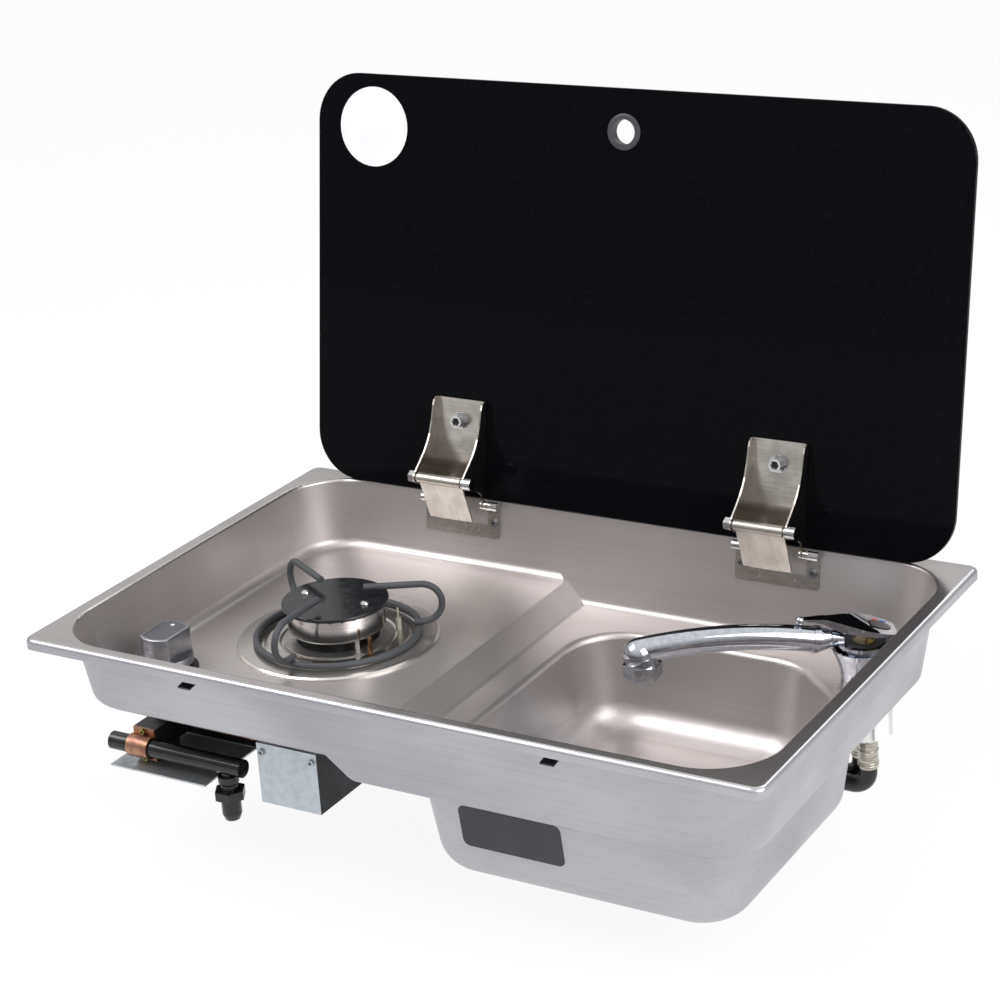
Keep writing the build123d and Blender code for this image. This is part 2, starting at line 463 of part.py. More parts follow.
# ---------------------------------------------------------------- drain
flange = Pos(DX, DY, 0) * turned([(35, -167), (35, -166.2), (32, -165.4), (24.5, -165.4), (24.5, -176),
                                  (19, -178), (19, -212), (21, -212), (21, -180), (25.9, -177), (25.9, -167)])
save("drain_body", flange)
grid = cyl(DX, DY, -168.5, -166.5, 24.4)
for ang in range(0, 360, 45):
    grid = grid - Pos(DX, DY, 0) * Rot(0, 0, ang) * cyl(17, 0, -170, -165, 3.4)
    grid = grid - Pos(DX, DY, 0) * Rot(0, 0, ang + 22.5) * cyl(8.5, 0, -170, -165, 2.4)
save("drain_strainer", grid)
save("drain_gasket", tube(DX, DY, -171, -168, 34, 25.9))
save("drain_nut", Pos(DX, DY, 0) * hexagon(-177, -171, 60) - cyl(DX, DY, -180, -170, 25.9))

# ---------------------------------------------------------------- tap
tapb = Pos(TX, TY, -TRAY) * turned([(12, 0), (22, 0), (22, 2.5), (20.3, 4.5), (19.3, 12), (20.2, 20), (23.2, 29),
                                    (26.2, 36.5), (27.5, 40.5), (26.4, 40.9), (24.6, 36), (18.15, 36),
                                    (18.15, 25), (12, 25)])
tapb = tapb + tube(TX, TY, -127, -TRAY, SHANK_R, 13)
save("tap_base", tapb)
cart = cyl(TX, TY, -59, -39.2, CART_R) - cyl(TX, TY, -47, -30, STEM_HOLE_R)
save("tap_cartridge", cart)
LT = Pos(TX, TY, 0) * Rot(0, 0, SPOUT_DIR)


def lever_pin(r, length):
    part = Cylinder(r, length)
    return Pos(LEVER_PIN_T, 0, LEVER_PIN_Z) * Rot(90, 0, 0) * part


stem_block = cyl(0, 0, -47, -38.6, STEM_HOLE_R - RUN_FIT)
stem_block = stem_block + box(LEVER_PIN_T - 3.5, LEVER_PIN_T + 3.5, -4, 4, -38.9, LEVER_PIN_Z + 0.8)
save("lever_stem", LT * (stem_block + lever_pin(1.5, 22)))

top_line = [(-31.5, -34), (-27, -31.2), (-10, -25.5), (16, -18.9), (34, -15.2), (53, -14.6)]
skin_line = top_line + [(t, z - LEVER_SKIN) for t, z in reversed(top_line)]
core_line = [(-23, -35.2), (20, -27.6), (34, -20.2), (40, -18.8), (40, -16.8), (16, -20.5), (-10, -27), (-23, -31.6)]
plan_line = [(-2, -19), (14, -13.5), (30, -5.6), (52, -3.0), (52, 3.0), (30, 5.6), (14, 13.5), (-2, 19)]
plan_face = make_face(Polyline(*plan_line, close=True)) + Pos(-6, 0) * Ellipse(25.5, 19.2)
core_face = make_face(Polyline((-2, -12), (14, -8.5), (30, -3.6), (50, -1.6), (50, 1.6), (30, 3.6), (14, 8.5),
                               (-2, 12), close=True)) + Pos(-6, 0) * Ellipse(18, 12)
skin = extrude(Plane.XZ * make_face(Polyline(*skin_line, close=True)), amount=30, both=True)
core = extrude(Plane.XZ * make_face(Polyline(*core_line, close=True)), amount=30, both=True)
lever = (skin & (Pos(0, 0, -45) * extrude(plan_face, amount=50))) + (
    core & (Pos(0, 0, -45) * extrude(core_face, amount=50)))
lever = lever + Pos(53, 0, -16.4) * Sphere(3.8)
lever = lever - box(LEVER_PIN_T - 5.2, LEVER_PIN_T + 5.2, -4.2, 4.2, -45, LEVER_PIN_Z + 1.6)
lever = lever - lever_pin(1.5 + RUN_FIT, 22.4)
save("tap_lever", LT * lever)
cap_tilt = 5.7 / 17
cap_frame = Plane(origin=(-12.5, 0, -25.5 - 2.5 * cap_tilt), x_dir=(1, 0, cap_tilt), z_dir=(-cap_tilt, 0, 1))
cap_plan = Ellipse(11.0, 7.5) & Pos(-3.5, 0) * Rectangle(22, 30)
save("lever_cap", LT * (cap_frame * extrude(cap_plan, amount=0.6)))
mark = extrude(Rectangle(5.0, 2.2), amount=0.3)
save("heat_marks", LT * (cap_frame * Pos(1, -10.5, 0) * mark), LT * (cap_frame * Pos(-6, -10.5, 0) * mark))

hub = tube(0, 0, -47.7, -38.5, 23, CART_R + RUN_FIT)


def arch(t):
    return ARCH_Z - ARCH_R + math.sqrt(ARCH_R ** 2 - (t - ARCH_T) ** 2)


def bent_rod(t0, t1, radius):
    path = ThreePointArc((t0, 0, arch(t0)), ((t0 + t1) / 2, 0, arch((t0 + t1) / 2)), (t1, 0, arch(t1)))
    slope = (ARCH_T - t0) / math.sqrt(ARCH_R ** 2 - (t0 - ARCH_T) ** 2)
    return sweep(Plane(origin=(t0, 0, arch(t0)), z_dir=(1, 0, slope)) * Circle(radius), path=path)


def cone_rod(t0, z0, r0, t1, z1, r1):
    tilt = math.degrees(math.atan2(z1 - z0, t1 - t0))
    part = Cone(r0, r1, math.hypot(t1 - t0, z1 - z0), align=(Align.CENTER, Align.CENTER, Align.MIN))
    return Pos(t0, 0, z0) * Rot(0, 90 - tilt, 0) * part


root = cone_rod(17, -36, 6.0, 28, -34.2, 8.0) + cone_rod(28, -34.2, 8.0, COLLAR_T, arch(COLLAR_T), SPOUT_R - 0.6)
arm = bent_rod(COLLAR_T - 2, COLLAR_T + COLLAR_W, SPOUT_R - 0.6) + bent_rod(COLLAR_T + COLLAR_W, SPOUT_LEN, SPOUT_R)
arm = arm + Pos(SPOUT_LEN - 2, 0, arch(SPOUT_LEN) - END_R + SPOUT_R) * Sphere(END_R)
arm = arm + cyl(OUTLET_T, 0, OUTLET_Z, arch(OUTLET_T) - 4, END_R)
spout = hub + root + arm
spout = spout - cyl(0, 0, -60, 0, CART_R + RUN_FIT) - cone_rod(14, -36.2, 4.0, COLLAR_T + 4, -34.4, 4.1)
spout = spout - cyl(OUTLET_T, 0, OUTLET_Z - 15, OUTLET_Z, 18)
spout = spout - bent_rod(COLLAR_T, OUTLET_T, SPOUT_R - 2.0) - cyl(OUTLET_T, 0, OUTLET_Z - 5, arch(OUTLET_T), AER_R)
save("spout", LT * spout)
collar = bent_rod(COLLAR_T, COLLAR_T + COLLAR_W, SPOUT_R + 1.0) - bent_rod(
    COLLAR_T - 1, COLLAR_T + COLLAR_W + 1, SPOUT_R - 0.6)
save("spout_collar", LT * collar)
aer = Pos(OUTLET_T, 0, 0) * hexagon(OUTLET_Z - 11, OUTLET_Z, 29)
aer = aer + cyl(OUTLET_T, 0, OUTLET_Z, OUTLET_Z + 5, AER_R)
aer = aer - cyl(OUTLET_T, 0, OUTLET_Z - 2, OUTLET_Z + 10, AER_R - 1.8) - cyl(
    OUTLET_T, 0, OUTLET_Z - 20, OUTLET_Z - 7, AER_R)
for ga in range(0, 360, 60):
    aer = aer - Pos(OUTLET_T, 0, 0) * Rot(0, 0, ga) * cyl(6.2, 0, OUTLET_Z - 20, OUTLET_Z + 8, 2.0)
save("aerator", LT * aer)

nutb = cyl(TX, TY, -123, -85, 22.5) + cyl(TX, TY, -89, -85, 24)
for k in range(8):
    nutb = nutb + Pos(TX, TY, 0) * Rot(0, 0, 45 * k) * box(18, 26, -1.6, 1.6, -121, -88)
nutb = nutb - cyl(TX, TY, -130, -80, SHANK_R)
save("tap_nut", nutb)
tails = []
hoses = []
for dx, dy, pull in ((6.0, -6.8, 0.75), (-8.0, 10.5, 0.6)):
    hx, hy = TX + dx, TY + dy
    tails.append(cyl(hx, hy, -152, -127, 8.4) + cyl(TX + dx * pull, TY + dy * pull, -128, -60, 4.0))
    bent = FilletPolyline((hx, hy, -152), (hx, hy, HOSE_Z), (HOSE_END_X, hy, HOSE_Z), radius=HOSE_BEND)
    hoses.append(sweep(Plane(origin=(hx, hy, -152), z_dir=(0, 0, -1)) * Circle(HOSE_R), path=Wire(bent.edges())))
save("hose_tails", *tails)
save("hoses", *hoses)
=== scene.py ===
import math

import bmesh
import bpy
from mathutils import Euler, Matrix, Vector


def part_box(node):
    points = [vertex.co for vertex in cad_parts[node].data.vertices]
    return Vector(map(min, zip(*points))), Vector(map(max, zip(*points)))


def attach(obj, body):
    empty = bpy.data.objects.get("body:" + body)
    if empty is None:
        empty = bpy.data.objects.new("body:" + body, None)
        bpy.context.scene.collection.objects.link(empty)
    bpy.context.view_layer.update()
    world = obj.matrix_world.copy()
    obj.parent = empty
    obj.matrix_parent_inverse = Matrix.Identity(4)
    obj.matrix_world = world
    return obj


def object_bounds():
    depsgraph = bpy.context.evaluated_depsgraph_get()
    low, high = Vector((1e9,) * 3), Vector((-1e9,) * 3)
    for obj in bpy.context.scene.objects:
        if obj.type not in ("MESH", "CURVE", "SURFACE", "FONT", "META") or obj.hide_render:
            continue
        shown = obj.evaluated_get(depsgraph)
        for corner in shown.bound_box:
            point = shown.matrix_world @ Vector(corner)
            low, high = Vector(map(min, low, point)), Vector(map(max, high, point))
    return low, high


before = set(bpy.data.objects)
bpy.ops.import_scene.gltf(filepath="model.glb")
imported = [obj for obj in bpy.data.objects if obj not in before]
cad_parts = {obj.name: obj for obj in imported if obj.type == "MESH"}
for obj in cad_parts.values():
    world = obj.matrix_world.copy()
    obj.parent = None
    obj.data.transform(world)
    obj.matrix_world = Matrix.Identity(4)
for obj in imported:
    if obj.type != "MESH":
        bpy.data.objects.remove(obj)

bl_info = {
    "name": "Glass-lid sink and hob unit",
    "version": (1, 0, 0),
    "blender": (4, 5, 0),
    "location": "View3D > Sidebar > Sink unit",
    "description": "Finishes the packed steel sink, hob, tap and glass lid and sets up their studio",
    "category": "Object",
}

CAD_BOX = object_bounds()
MM = 0.001

# The view fitted to the photo: where the eye is, its right, up and back directions, and its lens.
EYE = (1.0190, -1.6462, 0.8492)
EYE_RIGHT = (0.86199, 0.50301, -0.06275)
EYE_UP = (-0.13151, 0.34146, 0.93065)
EYE_BACK = (0.48956, -0.79397, 0.36049)
LENS_MM, SENSOR_MM = 90.255, 36.0

# Measures of the CAD that a box does not give.
LID_LEAN = math.radians(8.97)
CAP_RADIUS = 5.8 * MM
SOCKET_RADIUS = 3.4 * MM
WALL_LEAN = math.radians(9.5)
WALL_TOP = Vector((0, 203.7 * MM, 9 * MM))
ARM_DEGREES = (30, 150, 270)
WELD_RADIUS = 72.5 * MM
FRONT_TURN = (math.pi / 2, 0.0, 0.0)


# ---------------------------------------------------------------- small helpers
def linear(code, alpha=1.0):
    """An sRGB hex code as a linear colour."""
    parts = [int(code[i:i + 2], 16) / 255 for i in (1, 3, 5)]
    return tuple(p / 12.92 if p <= 0.04045 else ((p + 0.055) / 1.055) ** 2.4 for p in parts) + (alpha,)


def add(tree, kind, inputs=None, **settings):
    """Adds a node, applies its settings, and links or sets its inputs."""
    node = tree.nodes.new(kind)
    for name, value in settings.items():
        setattr(node, name, value)
    for socket, value in (inputs or {}).items():
        set_or_link(tree, node.inputs[socket], value)
    return node


def mid(node):
    """The middle of a node's box."""
    lo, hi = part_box(node)
    return (Vector(lo) + Vector(hi)) / 2


def new_material(name):
    """A material with an empty node tree."""
    material = bpy.data.materials.new(name)
    material.use_nodes = True
    material.node_tree.nodes.clear()
    return material, material.node_tree


def finish_surface(tree, **inputs):
    """Ends a material in one Principled surface; underscores in the keywords stand for spaces."""
    named = {key.replace("_", " "): value for key, value in inputs.items()}
    shader = add(tree, "ShaderNodeBsdfPrincipled", named)
    add(tree, "ShaderNodeOutputMaterial", {"Surface": shader.outputs["BSDF"]})
    return shader


def pattern(tree, kind, spacing_mm, stretch=(1, 1, 1), centre=(0, 0, 0), **settings):
    """A texture in object coordinates whose features lie about spacing_mm apart."""
    coords = add(tree, "ShaderNodeTexCoord")
    scale = 1000.0 / spacing_mm
    mapping = add(tree, "ShaderNodeMapping", {
        "Vector": coords.outputs["Object"], "Location": [-c * scale * s for c, s in zip(centre, stretch)],
        "Scale": [scale * s for s in stretch]})
    texture = add(tree, kind, {"Vector": mapping.outputs["Vector"], "Scale": 1.0})
    for name, value in settings.items():
        texture.inputs[name].default_value = value
    return texture.outputs[0]


def between(tree, value, low, high, from_low=0.3, from_high=0.7):
    """Maps a pattern to a range of one value, such as roughness."""
    node = add(tree, "ShaderNodeMapRange", {"Value": value, "From Min": from_low, "From Max": from_high,
                                            "To Min": low, "To Max": high})
    return node.outputs["Result"]


def colours(tree, factor, *stops):
    """A colour ramp from (place, hex) stops."""
    ramp = add(tree, "ShaderNodeValToRGB", {"Fac": factor})
    elements = ramp.color_ramp.elements
    while len(elements) < len(stops):
        elements.new(0.5)
    for element, (place, code) in zip(elements, stops):
        element.position = place
        element.color = linear(code)
    return ramp.outputs["Color"]


def relief(tree, height, depth_mm):
    """A bump of the given depth."""
    bump = add(tree, "ShaderNodeBump", {"Height": height, "Distance": depth_mm * MM, "Strength": 1.0})
    return bump.outputs["Normal"]


def maths(tree, operation, first, second=0.5):
    """One sum on a number or two."""
    node = add(tree, "ShaderNodeMath", {0: first, 1: second}, operation=operation)
    return node.outputs["Value"]


def height_in(tree, space="Object"):
    """The Z of a texture space: metres above the origin in Object."""
    place = add(tree, "ShaderNodeTexCoord").outputs[space]
    return add(tree, "ShaderNodeSeparateXYZ", {"Vector": place}).outputs["Z"]


def ray_is(tree, first, *others):
    """1 for a ray of any kind named, 0 for the rest."""
    path = add(tree, "ShaderNodeLightPath")
    found = path.outputs[f"Is {first} Ray"]
    for kind in others:
        found = maths(tree, "MAXIMUM", found, path.outputs[f"Is {kind} Ray"])
    return found


def set_or_link(tree, socket, value):
    """Gives a socket a link or a constant."""
    if isinstance(value, bpy.types.NodeSocket):
        tree.links.new(value, socket)
    else:
        socket.default_value = value


def mixed(tree, factor, first, second):
    """Mixes two numbers by a factor."""
    node = add(tree, "ShaderNodeMix", {"Factor": factor}, data_type="FLOAT")
    for socket, value in (("A", first), ("B", second)):
        set_or_link(tree, node.inputs[socket], value)
    return node.outputs[0]


def mixed_colour(tree, factor, first, second):
    """Mixes two colours by a factor."""
    node = add(tree, "ShaderNodeMix", {"Factor": factor}, data_type="RGBA")
    sockets = [s for s in node.inputs if s.type == "RGBA"]
    for socket, value in zip(sockets, (first, second)):
        set_or_link(tree, socket, value)
    return [s for s in node.outputs if s.type == "RGBA"][0]


def sideways(tree, low=0.55, high=0.8):
    """1 on walls that face left or right, 0 elsewhere, so brushing runs round the pan."""
    normal = add(tree, "ShaderNodeNewGeometry").outputs["Normal"]
    across = add(tree, "ShaderNodeSeparateXYZ", {"Vector": normal}).outputs["X"]
    return between(tree, maths(tree, "ABSOLUTE", across), 0.0, 1.0, low, high)


def facing_out(tree, centre):
    """1 where a wall faces away from the middle of the pan, 0 where it faces in."""
    place = add(tree, "ShaderNodeTexCoord").outputs["Object"]
    away = add(tree, "ShaderNodeVectorMath", {0: place, 1: centre}, operation="SUBTRACT").outputs["Vector"]
    flat = add(tree, "ShaderNodeVectorMath", {0: away, 1: (1.0, 1.0, 0.0)}, operation="MULTIPLY")
    straight = add(tree, "ShaderNodeVectorMath", {0: flat.outputs["Vector"]}, operation="NORMALIZE")
    normal = add(tree, "ShaderNodeNewGeometry").outputs["Normal"]
    side = add(tree, "ShaderNodeVectorMath", {0: straight.outputs["Vector"], 1: normal}, operation="DOT_PRODUCT")
    return between(tree, side.outputs["Value"], 0.0, 1.0, 0.0, 0.35)


# ---------------------------------------------------------------- materials
def pressed_stainless(name, tone, dark, rough, grain_mm=2.4, depth=0.0018, outside=None, centre=(0, 0, 0),
                      rim=None):
    """Cold-pressed stainless sheet with a satin face: faint long streaks round the walls, soft cloudy patches
    where the sheet was drawn, and a smoother rolled rim that mirrors the lid. Walls that face out can be drawn in
    a darker, bluer grey than the warm pale inside; that split is painted shade, as both are one sheet. Real
    brushing is about 0.1 mm apart; it is drawn coarser so that it shows."""
    material, tree = new_material(name)
    run = 0.012                                  # a streak is about 80 times as long as it is wide
    along_x = pattern(tree, "ShaderNodeTexNoise", grain_mm, (run, 1, 1), Detail=4.0, Roughness=0.62)
    along_y = pattern(tree, "ShaderNodeTexNoise", grain_mm, (1, run, 1), Detail=4.0, Roughness=0.62)
    streaks = mixed(tree, sideways(tree, 0.68, 0.72), along_x, along_y)
    clouds = pattern(tree, "ShaderNodeTexNoise", 90.0, (0.6, 1, 1), Detail=2.0, Roughness=0.5)
    marks = mixed(tree, 0.68, streaks, clouds)
    base = colours(tree, marks, (0.34, dark), (0.62, tone))
    # Painted shade: outward-facing walls get a darker, bluer copy of the steel tones.
    if outside:
        shaded_outside_tone = colours(tree, marks, (0.34, outside[1]), (0.62, outside[0]))
        base = mixed_colour(tree, facing_out(tree, centre), base, shaded_outside_tone)
    roughness = between(tree, marks, rough + 0.03, rough - 0.03)
    bumps = streaks
    if rim:
        at_rim = between(tree, height_in(tree), 0.0, 1.0, rim - 2 * MM, rim - 0.4 * MM)
        roughness = mixed(tree, at_rim, roughness, 0.2)
        bumps = mixed(tree, at_rim, streaks, 0.5)
    finish_surface(tree, Base_Color=base, Metallic=0.9, Roughness=roughness, Anisotropic=0.2,
                   Normal=relief(tree, bumps, depth))
    return material


def bright_steel(name, tone, dark, rough, grain_mm=1.2, stretch=(0.03, 1, 1), depth=0.004):
    """Polished stainless strip: bright and slightly creamy, with hairline marks from the polishing belt."""
    material, tree = new_material(name)
    lines = pattern(tree, "ShaderNodeTexNoise", grain_mm, stretch, Detail=3.0, Roughness=0.6)
    smears = pattern(tree, "ShaderNodeTexNoise", 14.0, Detail=2.0)
    base = colours(tree, mixed(tree, 0.5, lines, smears), (0.35, dark), (0.62, tone))
    finish_surface(tree, Base_Color=base, Metallic=1.0, Normal=relief(tree, lines, depth),
                   Roughness=between(tree, smears, rough + 0.04, rough - 0.03))
    return material


def bright_chrome(name, tone="#C0C3CA", rough=0.03):
    """Nickel-chrome plate over cast brass: a mirror with a cold tint and a very slight casting ripple."""
    material, tree = new_material(name)
    ripple = pattern(tree, "ShaderNodeTexNoise", 17.0, Detail=1.5)
    water = pattern(tree, "ShaderNodeTexNoise", 5.0, Detail=3.0, Roughness=0.7)
    base = colours(tree, water, (0.4, "#B2B5BC"), (0.6, tone))
    finish_surface(tree, Base_Color=base, Metallic=1.0, Roughness=between(tree, water, rough + 0.02, rough),
                   Normal=relief(tree, ripple, 0.012))
    return material


def turned_satin(name, centre, tone="#C4C5CA", dark="#A2A3A9", rough=0.3):
    """Satin chromed zinc knob: a soft silver with fine rings from the polishing wheel."""
    material, tree = new_material(name)
    rings = pattern(tree, "ShaderNodeTexNoise", 0.9, (0.05, 0.05, 1), centre=centre, Detail=3.0, Roughness=0.6)
    finish_surface(tree, Base_Color=colours(tree, rings, (0.35, dark), (0.65, tone)), Metallic=1.0,
                   Roughness=between(tree, rings, rough + 0.06, rough - 0.04), Normal=relief(tree, rings, 0.004))
    return material


def black_tempered_glass(name, tone="#08080B", edge="#101116"):
    """Toughened float glass printed black on its back: a deep cold black with a clean faint reflection."""
    material, tree = new_material(name)
    wave = pattern(tree, "ShaderNodeTexNoise", 220.0, Detail=1.0)
    dust = pattern(tree, "ShaderNodeTexNoise", 3.0, Detail=5.0, Roughness=0.75)
    base = colours(tree, dust, (0.45, tone), (0.85, edge))
    finish_surface(tree, Base_Color=base, Roughness=between(tree, dust, 0.05, 0.09, 0.4, 0.8), IOR=1.52,
                   Specular_IOR_Level=0.035, Normal=relief(tree, wave, 0.25))
    return material


def moulded(name, tone, dark, rough, grain_mm=0.7, depth=0.02):
    """Moulded plastic or rubber: an even tone with a fine spark-eroded skin and faint flow marks."""
    material, tree = new_material(name)
    skin = pattern(tree, "ShaderNodeTexNoise", grain_mm, Detail=2.0, Roughness=0.6)
    flow = pattern(tree, "ShaderNodeTexNoise", 24.0, Detail=2.0)
    base = colours(tree, mixed(tree, 0.6, skin, flow), (0.35, dark), (0.65, tone))
    finish_surface(tree, Base_Color=base, Roughness=between(tree, flow, rough + 0.05, rough - 0.05), IOR=1.5,
                   Normal=relief(tree, skin, depth))
    return material


def painted(name, tone, dark, rough):
    """Stoved paint on steel: a sprayed skin with faint orange peel, thin and greyer on high spots."""
    material, tree = new_material(name)
    peel = pattern(tree, "ShaderNodeTexNoise", 1.6, Detail=1.5)
    wear = pattern(tree, "ShaderNodeTexNoise", 9.0, Detail=4.0, Roughness=0.7)
    base = colours(tree, wear, (0.38, tone), (0.72, dark))
    finish_surface(tree, Base_Color=base, Roughness=between(tree, wear, rough - 0.04, rough + 0.08), IOR=1.5,
                   Normal=relief(tree, peel, 0.03))
    return material


def fired_wire(name, tone="#3A3C40", dark="#4C4E52"):
    """Vitreous enamel on steel wire, fired to a dull charcoal where pans rub it."""
    material, tree = new_material(name)
    speck = pattern(tree, "ShaderNodeTexNoise", 1.1, Detail=4.0, Roughness=0.7)
    finish_surface(tree, Base_Color=colours(tree, speck, (0.35, tone), (0.7, dark)), IOR=1.5,
                   Roughness=between(tree, speck, 0.48, 0.6), Normal=relief(tree, speck, 0.03))
    return material


def cast_aluminium(name, tone="#C8C6C4", dark="#8E8C8A", rough=0.28):
    """Machined aluminium casting: bright turned bands with small dark casting pits."""
    material, tree = new_material(name)
    bands = pattern(tree, "ShaderNodeTexNoise", 1.4, (0.06, 0.06, 1), Detail=4.0, Roughness=0.65)
    pits = pattern(tree, "ShaderNodeTexNoise", 3.2, Detail=5.0, Roughness=0.75)
    base = colours(tree, mixed(tree, 0.45, bands, pits), (0.36, dark), (0.6, tone))
    finish_surface(tree, Base_Color=base, Metallic=1.0, Roughness=between(tree, pits, rough + 0.12, rough - 0.05),
                   Normal=relief(tree, pits, 0.03))
    return material


def galvanised(name, tone="#B9C0C6", dark="#9BA3AA", rough=0.42, side_shade=None, shade_above=None):
    """Hot-dip zinc on sheet steel: pale blue-grey with spangle a few millimetres wide and dull smears. The folded
    side cheeks can be given a painted shade, near-black where they turn away from the light, and the upright of a
    bracket can be given a painted shade, black above a height, for the shade under the deck."""
    material, tree = new_material(name)
    spangle = pattern(tree, "ShaderNodeTexVoronoi", 6.0, Randomness=1.0)
    smear = pattern(tree, "ShaderNodeTexNoise", 26.0, (1, 1, 0.4), Detail=4.0, Roughness=0.65)
    mix = mixed(tree, 0.55, spangle, smear)
    base = colours(tree, mix, (0.25, dark), (0.65, tone))
    roughness = between(tree, mix, rough + 0.08, rough - 0.06)
    # Painted shade: faces turned left or right are drawn near-black.
    if side_shade:
        painted_side_shade = colours(tree, smear, (0.35, side_shade), (0.7, "#2B2E31"))
        base = mixed_colour(tree, sideways(tree), base, painted_side_shade)
    metal, gloss = 0.75, 0.5
    # Painted shade: above a height the sheet is drawn black and given little shine, for the shade under the hob
    # deck.
    if shade_above is not None:
        shaded_part = maths(tree, "GREATER_THAN", height_in(tree), shade_above)
        black = colours(tree, smear, (0.35, "#121214"), (0.7, "#1E1E21"))
        base = mixed_colour(tree, shaded_part, base, black)
        metal = mixed(tree, shaded_part, metal, 0.0)
        gloss = mixed(tree, shaded_part, gloss, 0.08)
    finish_surface(tree, Base_Color=base, Metallic=metal, Roughness=roughness, Specular_IOR_Level=gloss,
                   Normal=relief(tree, smear, 0.02))
    return material


def passivated(name, warm="#C98A5C", gold="#C9A84C", rose="#B5705E", rough=0.3):
    """Yellow-passivated steel: gold that slips to copper and rose where the film is thicker."""
    material, tree = new_material(name)
    film = pattern(tree, "ShaderNodeTexNoise", 11.0, (1, 1, 1.6), Detail=3.0, Roughness=0.55)
    base = colours(tree, film, (0.36, rose), (0.5, warm), (0.64, gold))
    finish_surface(tree, Base_Color=base, Metallic=1.0, Roughness=between(tree, film, rough + 0.06, rough - 0.05),
                   Normal=relief(tree, film, 0.01))
    return material


def turned_brass(name, tone="#C8B98E", dark="#93835C", rough=0.28):
    """Turned brass with thin nickel: pale yellow-grey with tool rings."""
    material, tree = new_material(name)
    rings = pattern(tree, "ShaderNodeTexNoise", 0.9, (0.05, 0.05, 1), Detail=3.0)
    finish_surface(tree, Base_Color=colours(tree, rings, (0.35, dark), (0.65, tone)), Metallic=1.0,
                   Roughness=between(tree, rings, rough + 0.08, rough - 0.05), Normal=relief(tree, rings, 0.01))
    return material


def hot_cold_enamel(name, border, direction, warm="#C8452F", cold="#2F6FB4"):
    """Two enamel-filled marks: warm towards the spout, cold towards the wall."""
    material, tree = new_material(name)
    coords = add(tree, "ShaderNodeTexCoord").outputs["Object"]
    away = add(tree, "ShaderNodeVectorMath", {0: coords, 1: border}, operation="SUBTRACT").outputs["Vector"]
    side = add(tree, "ShaderNodeVectorMath", {0: away, 1: direction}, operation="DOT_PRODUCT").outputs["Value"]
    pick = maths(tree, "GREATER_THAN", side, 0.0)
    skin = pattern(tree, "ShaderNodeTexNoise", 0.5, Detail=2.0)
    finish_surface(tree, Base_Color=mixed_colour(tree, pick, linear(cold), linear(warm)), IOR=1.5,
                   Roughness=between(tree, skin, 0.25, 0.32))
    return material


# ---------------------------------------------------------------- pieces
def dress(node, material):
    """Gives a CAD node its finish."""
    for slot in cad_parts[node].material_slots:
        slot.material = material


def discs(name, spots, radius, thick, material, body, turn=(0.0, 0.0, 0.0)):
    """Thin round discs, one at each spot, turned alike, as one piece on a body."""
    shape = bmesh.new()
    for spot in spots:
        bmesh.ops.create_cone(shape, cap_ends=True, segments=32, radius1=radius, radius2=radius, depth=thick,
                              matrix=Matrix.Translation(spot) @ Euler(turn).to_matrix().to_4x4())
    mesh = bpy.data.meshes.new(name)
    shape.to_mesh(mesh)
    shape.free()
    mesh.materials.append(material)
    piece = bpy.data.objects.new(name, mesh)
    bpy.context.scene.collection.objects.link(piece)
    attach(piece, body)


def grown(name, spots, tree, material, body, slot, **values):
    """Runs a geometry tree once over a point at each spot and keeps the plain result on a body."""
    seeds = bpy.data.meshes.new(name)
    seeds.from_pydata([tuple(spot) for spot in spots], [], [])
    piece = bpy.data.objects.new(name, seeds)
    bpy.context.scene.collection.objects.link(piece)
    values["Material"] = material
    modifier = piece.modifiers.new(name, "NODES")
    modifier.node_group = tree
    for item in tree.interface.items_tree:
        if item.item_type == "SOCKET" and item.in_out == "INPUT" and item.name in values:
            modifier[item.identifier] = values[item.name]
    evaluated = piece.evaluated_get(bpy.context.evaluated_depsgraph_get())
    mesh = bpy.data.meshes.new_from_object(evaluated)
    piece.modifiers.clear()
    piece.data = mesh
    mesh.name = name
    if not mesh.polygons:
        raise RuntimeError(name + " came out empty")
    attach(piece, body)


def geometry_tree(name, **sizes):
    """A geometry tree with a points input, the sizes named, a material and an output."""
    tree = bpy.data.node_groups.new(name, "GeometryNodeTree")
    tree.interface.new_socket(name="Geometry", in_out="INPUT", socket_type="NodeSocketGeometry")
    kinds = {float: "NodeSocketFloat", int: "NodeSocketInt", tuple: "NodeSocketVector"}
    for label, usual in sizes.items():
        socket = tree.interface.new_socket(name=label, in_out="INPUT", socket_type=kinds[type(usual)])
        socket.default_value = usual
    tree.interface.new_socket(name="Material", in_out="INPUT", socket_type="NodeSocketMaterial")
    tree.interface.new_socket(name="Geometry", in_out="OUTPUT", socket_type="NodeSocketGeometry")
    return tree, add(tree, "NodeGroupInput")


def close_tree(tree, given, geometry):
    """Ends a tree in Realize Instances and Set Material."""
    real = add(tree, "GeometryNodeRealizeInstances", {"Geometry": geometry})
    done = add(tree, "GeometryNodeSetMaterial", {"Geometry": real.outputs["Geometry"],
                                                 "Material": given.outputs["Material"]})
    add(tree, "NodeGroupOutput", {"Geometry": done.outputs["Geometry"]})


def on_points(tree, given, shape, **inputs):
    """Copies a shape to every point that comes in."""
    points = add(tree, "GeometryNodeMeshToPoints", {"Mesh": given.outputs["Geometry"]})
    inputs.update(Points=points.outputs["Points"], Instance=shape)
    copies = add(tree, "GeometryNodeInstanceOnPoints", inputs)
    return copies.outputs["Instances"]


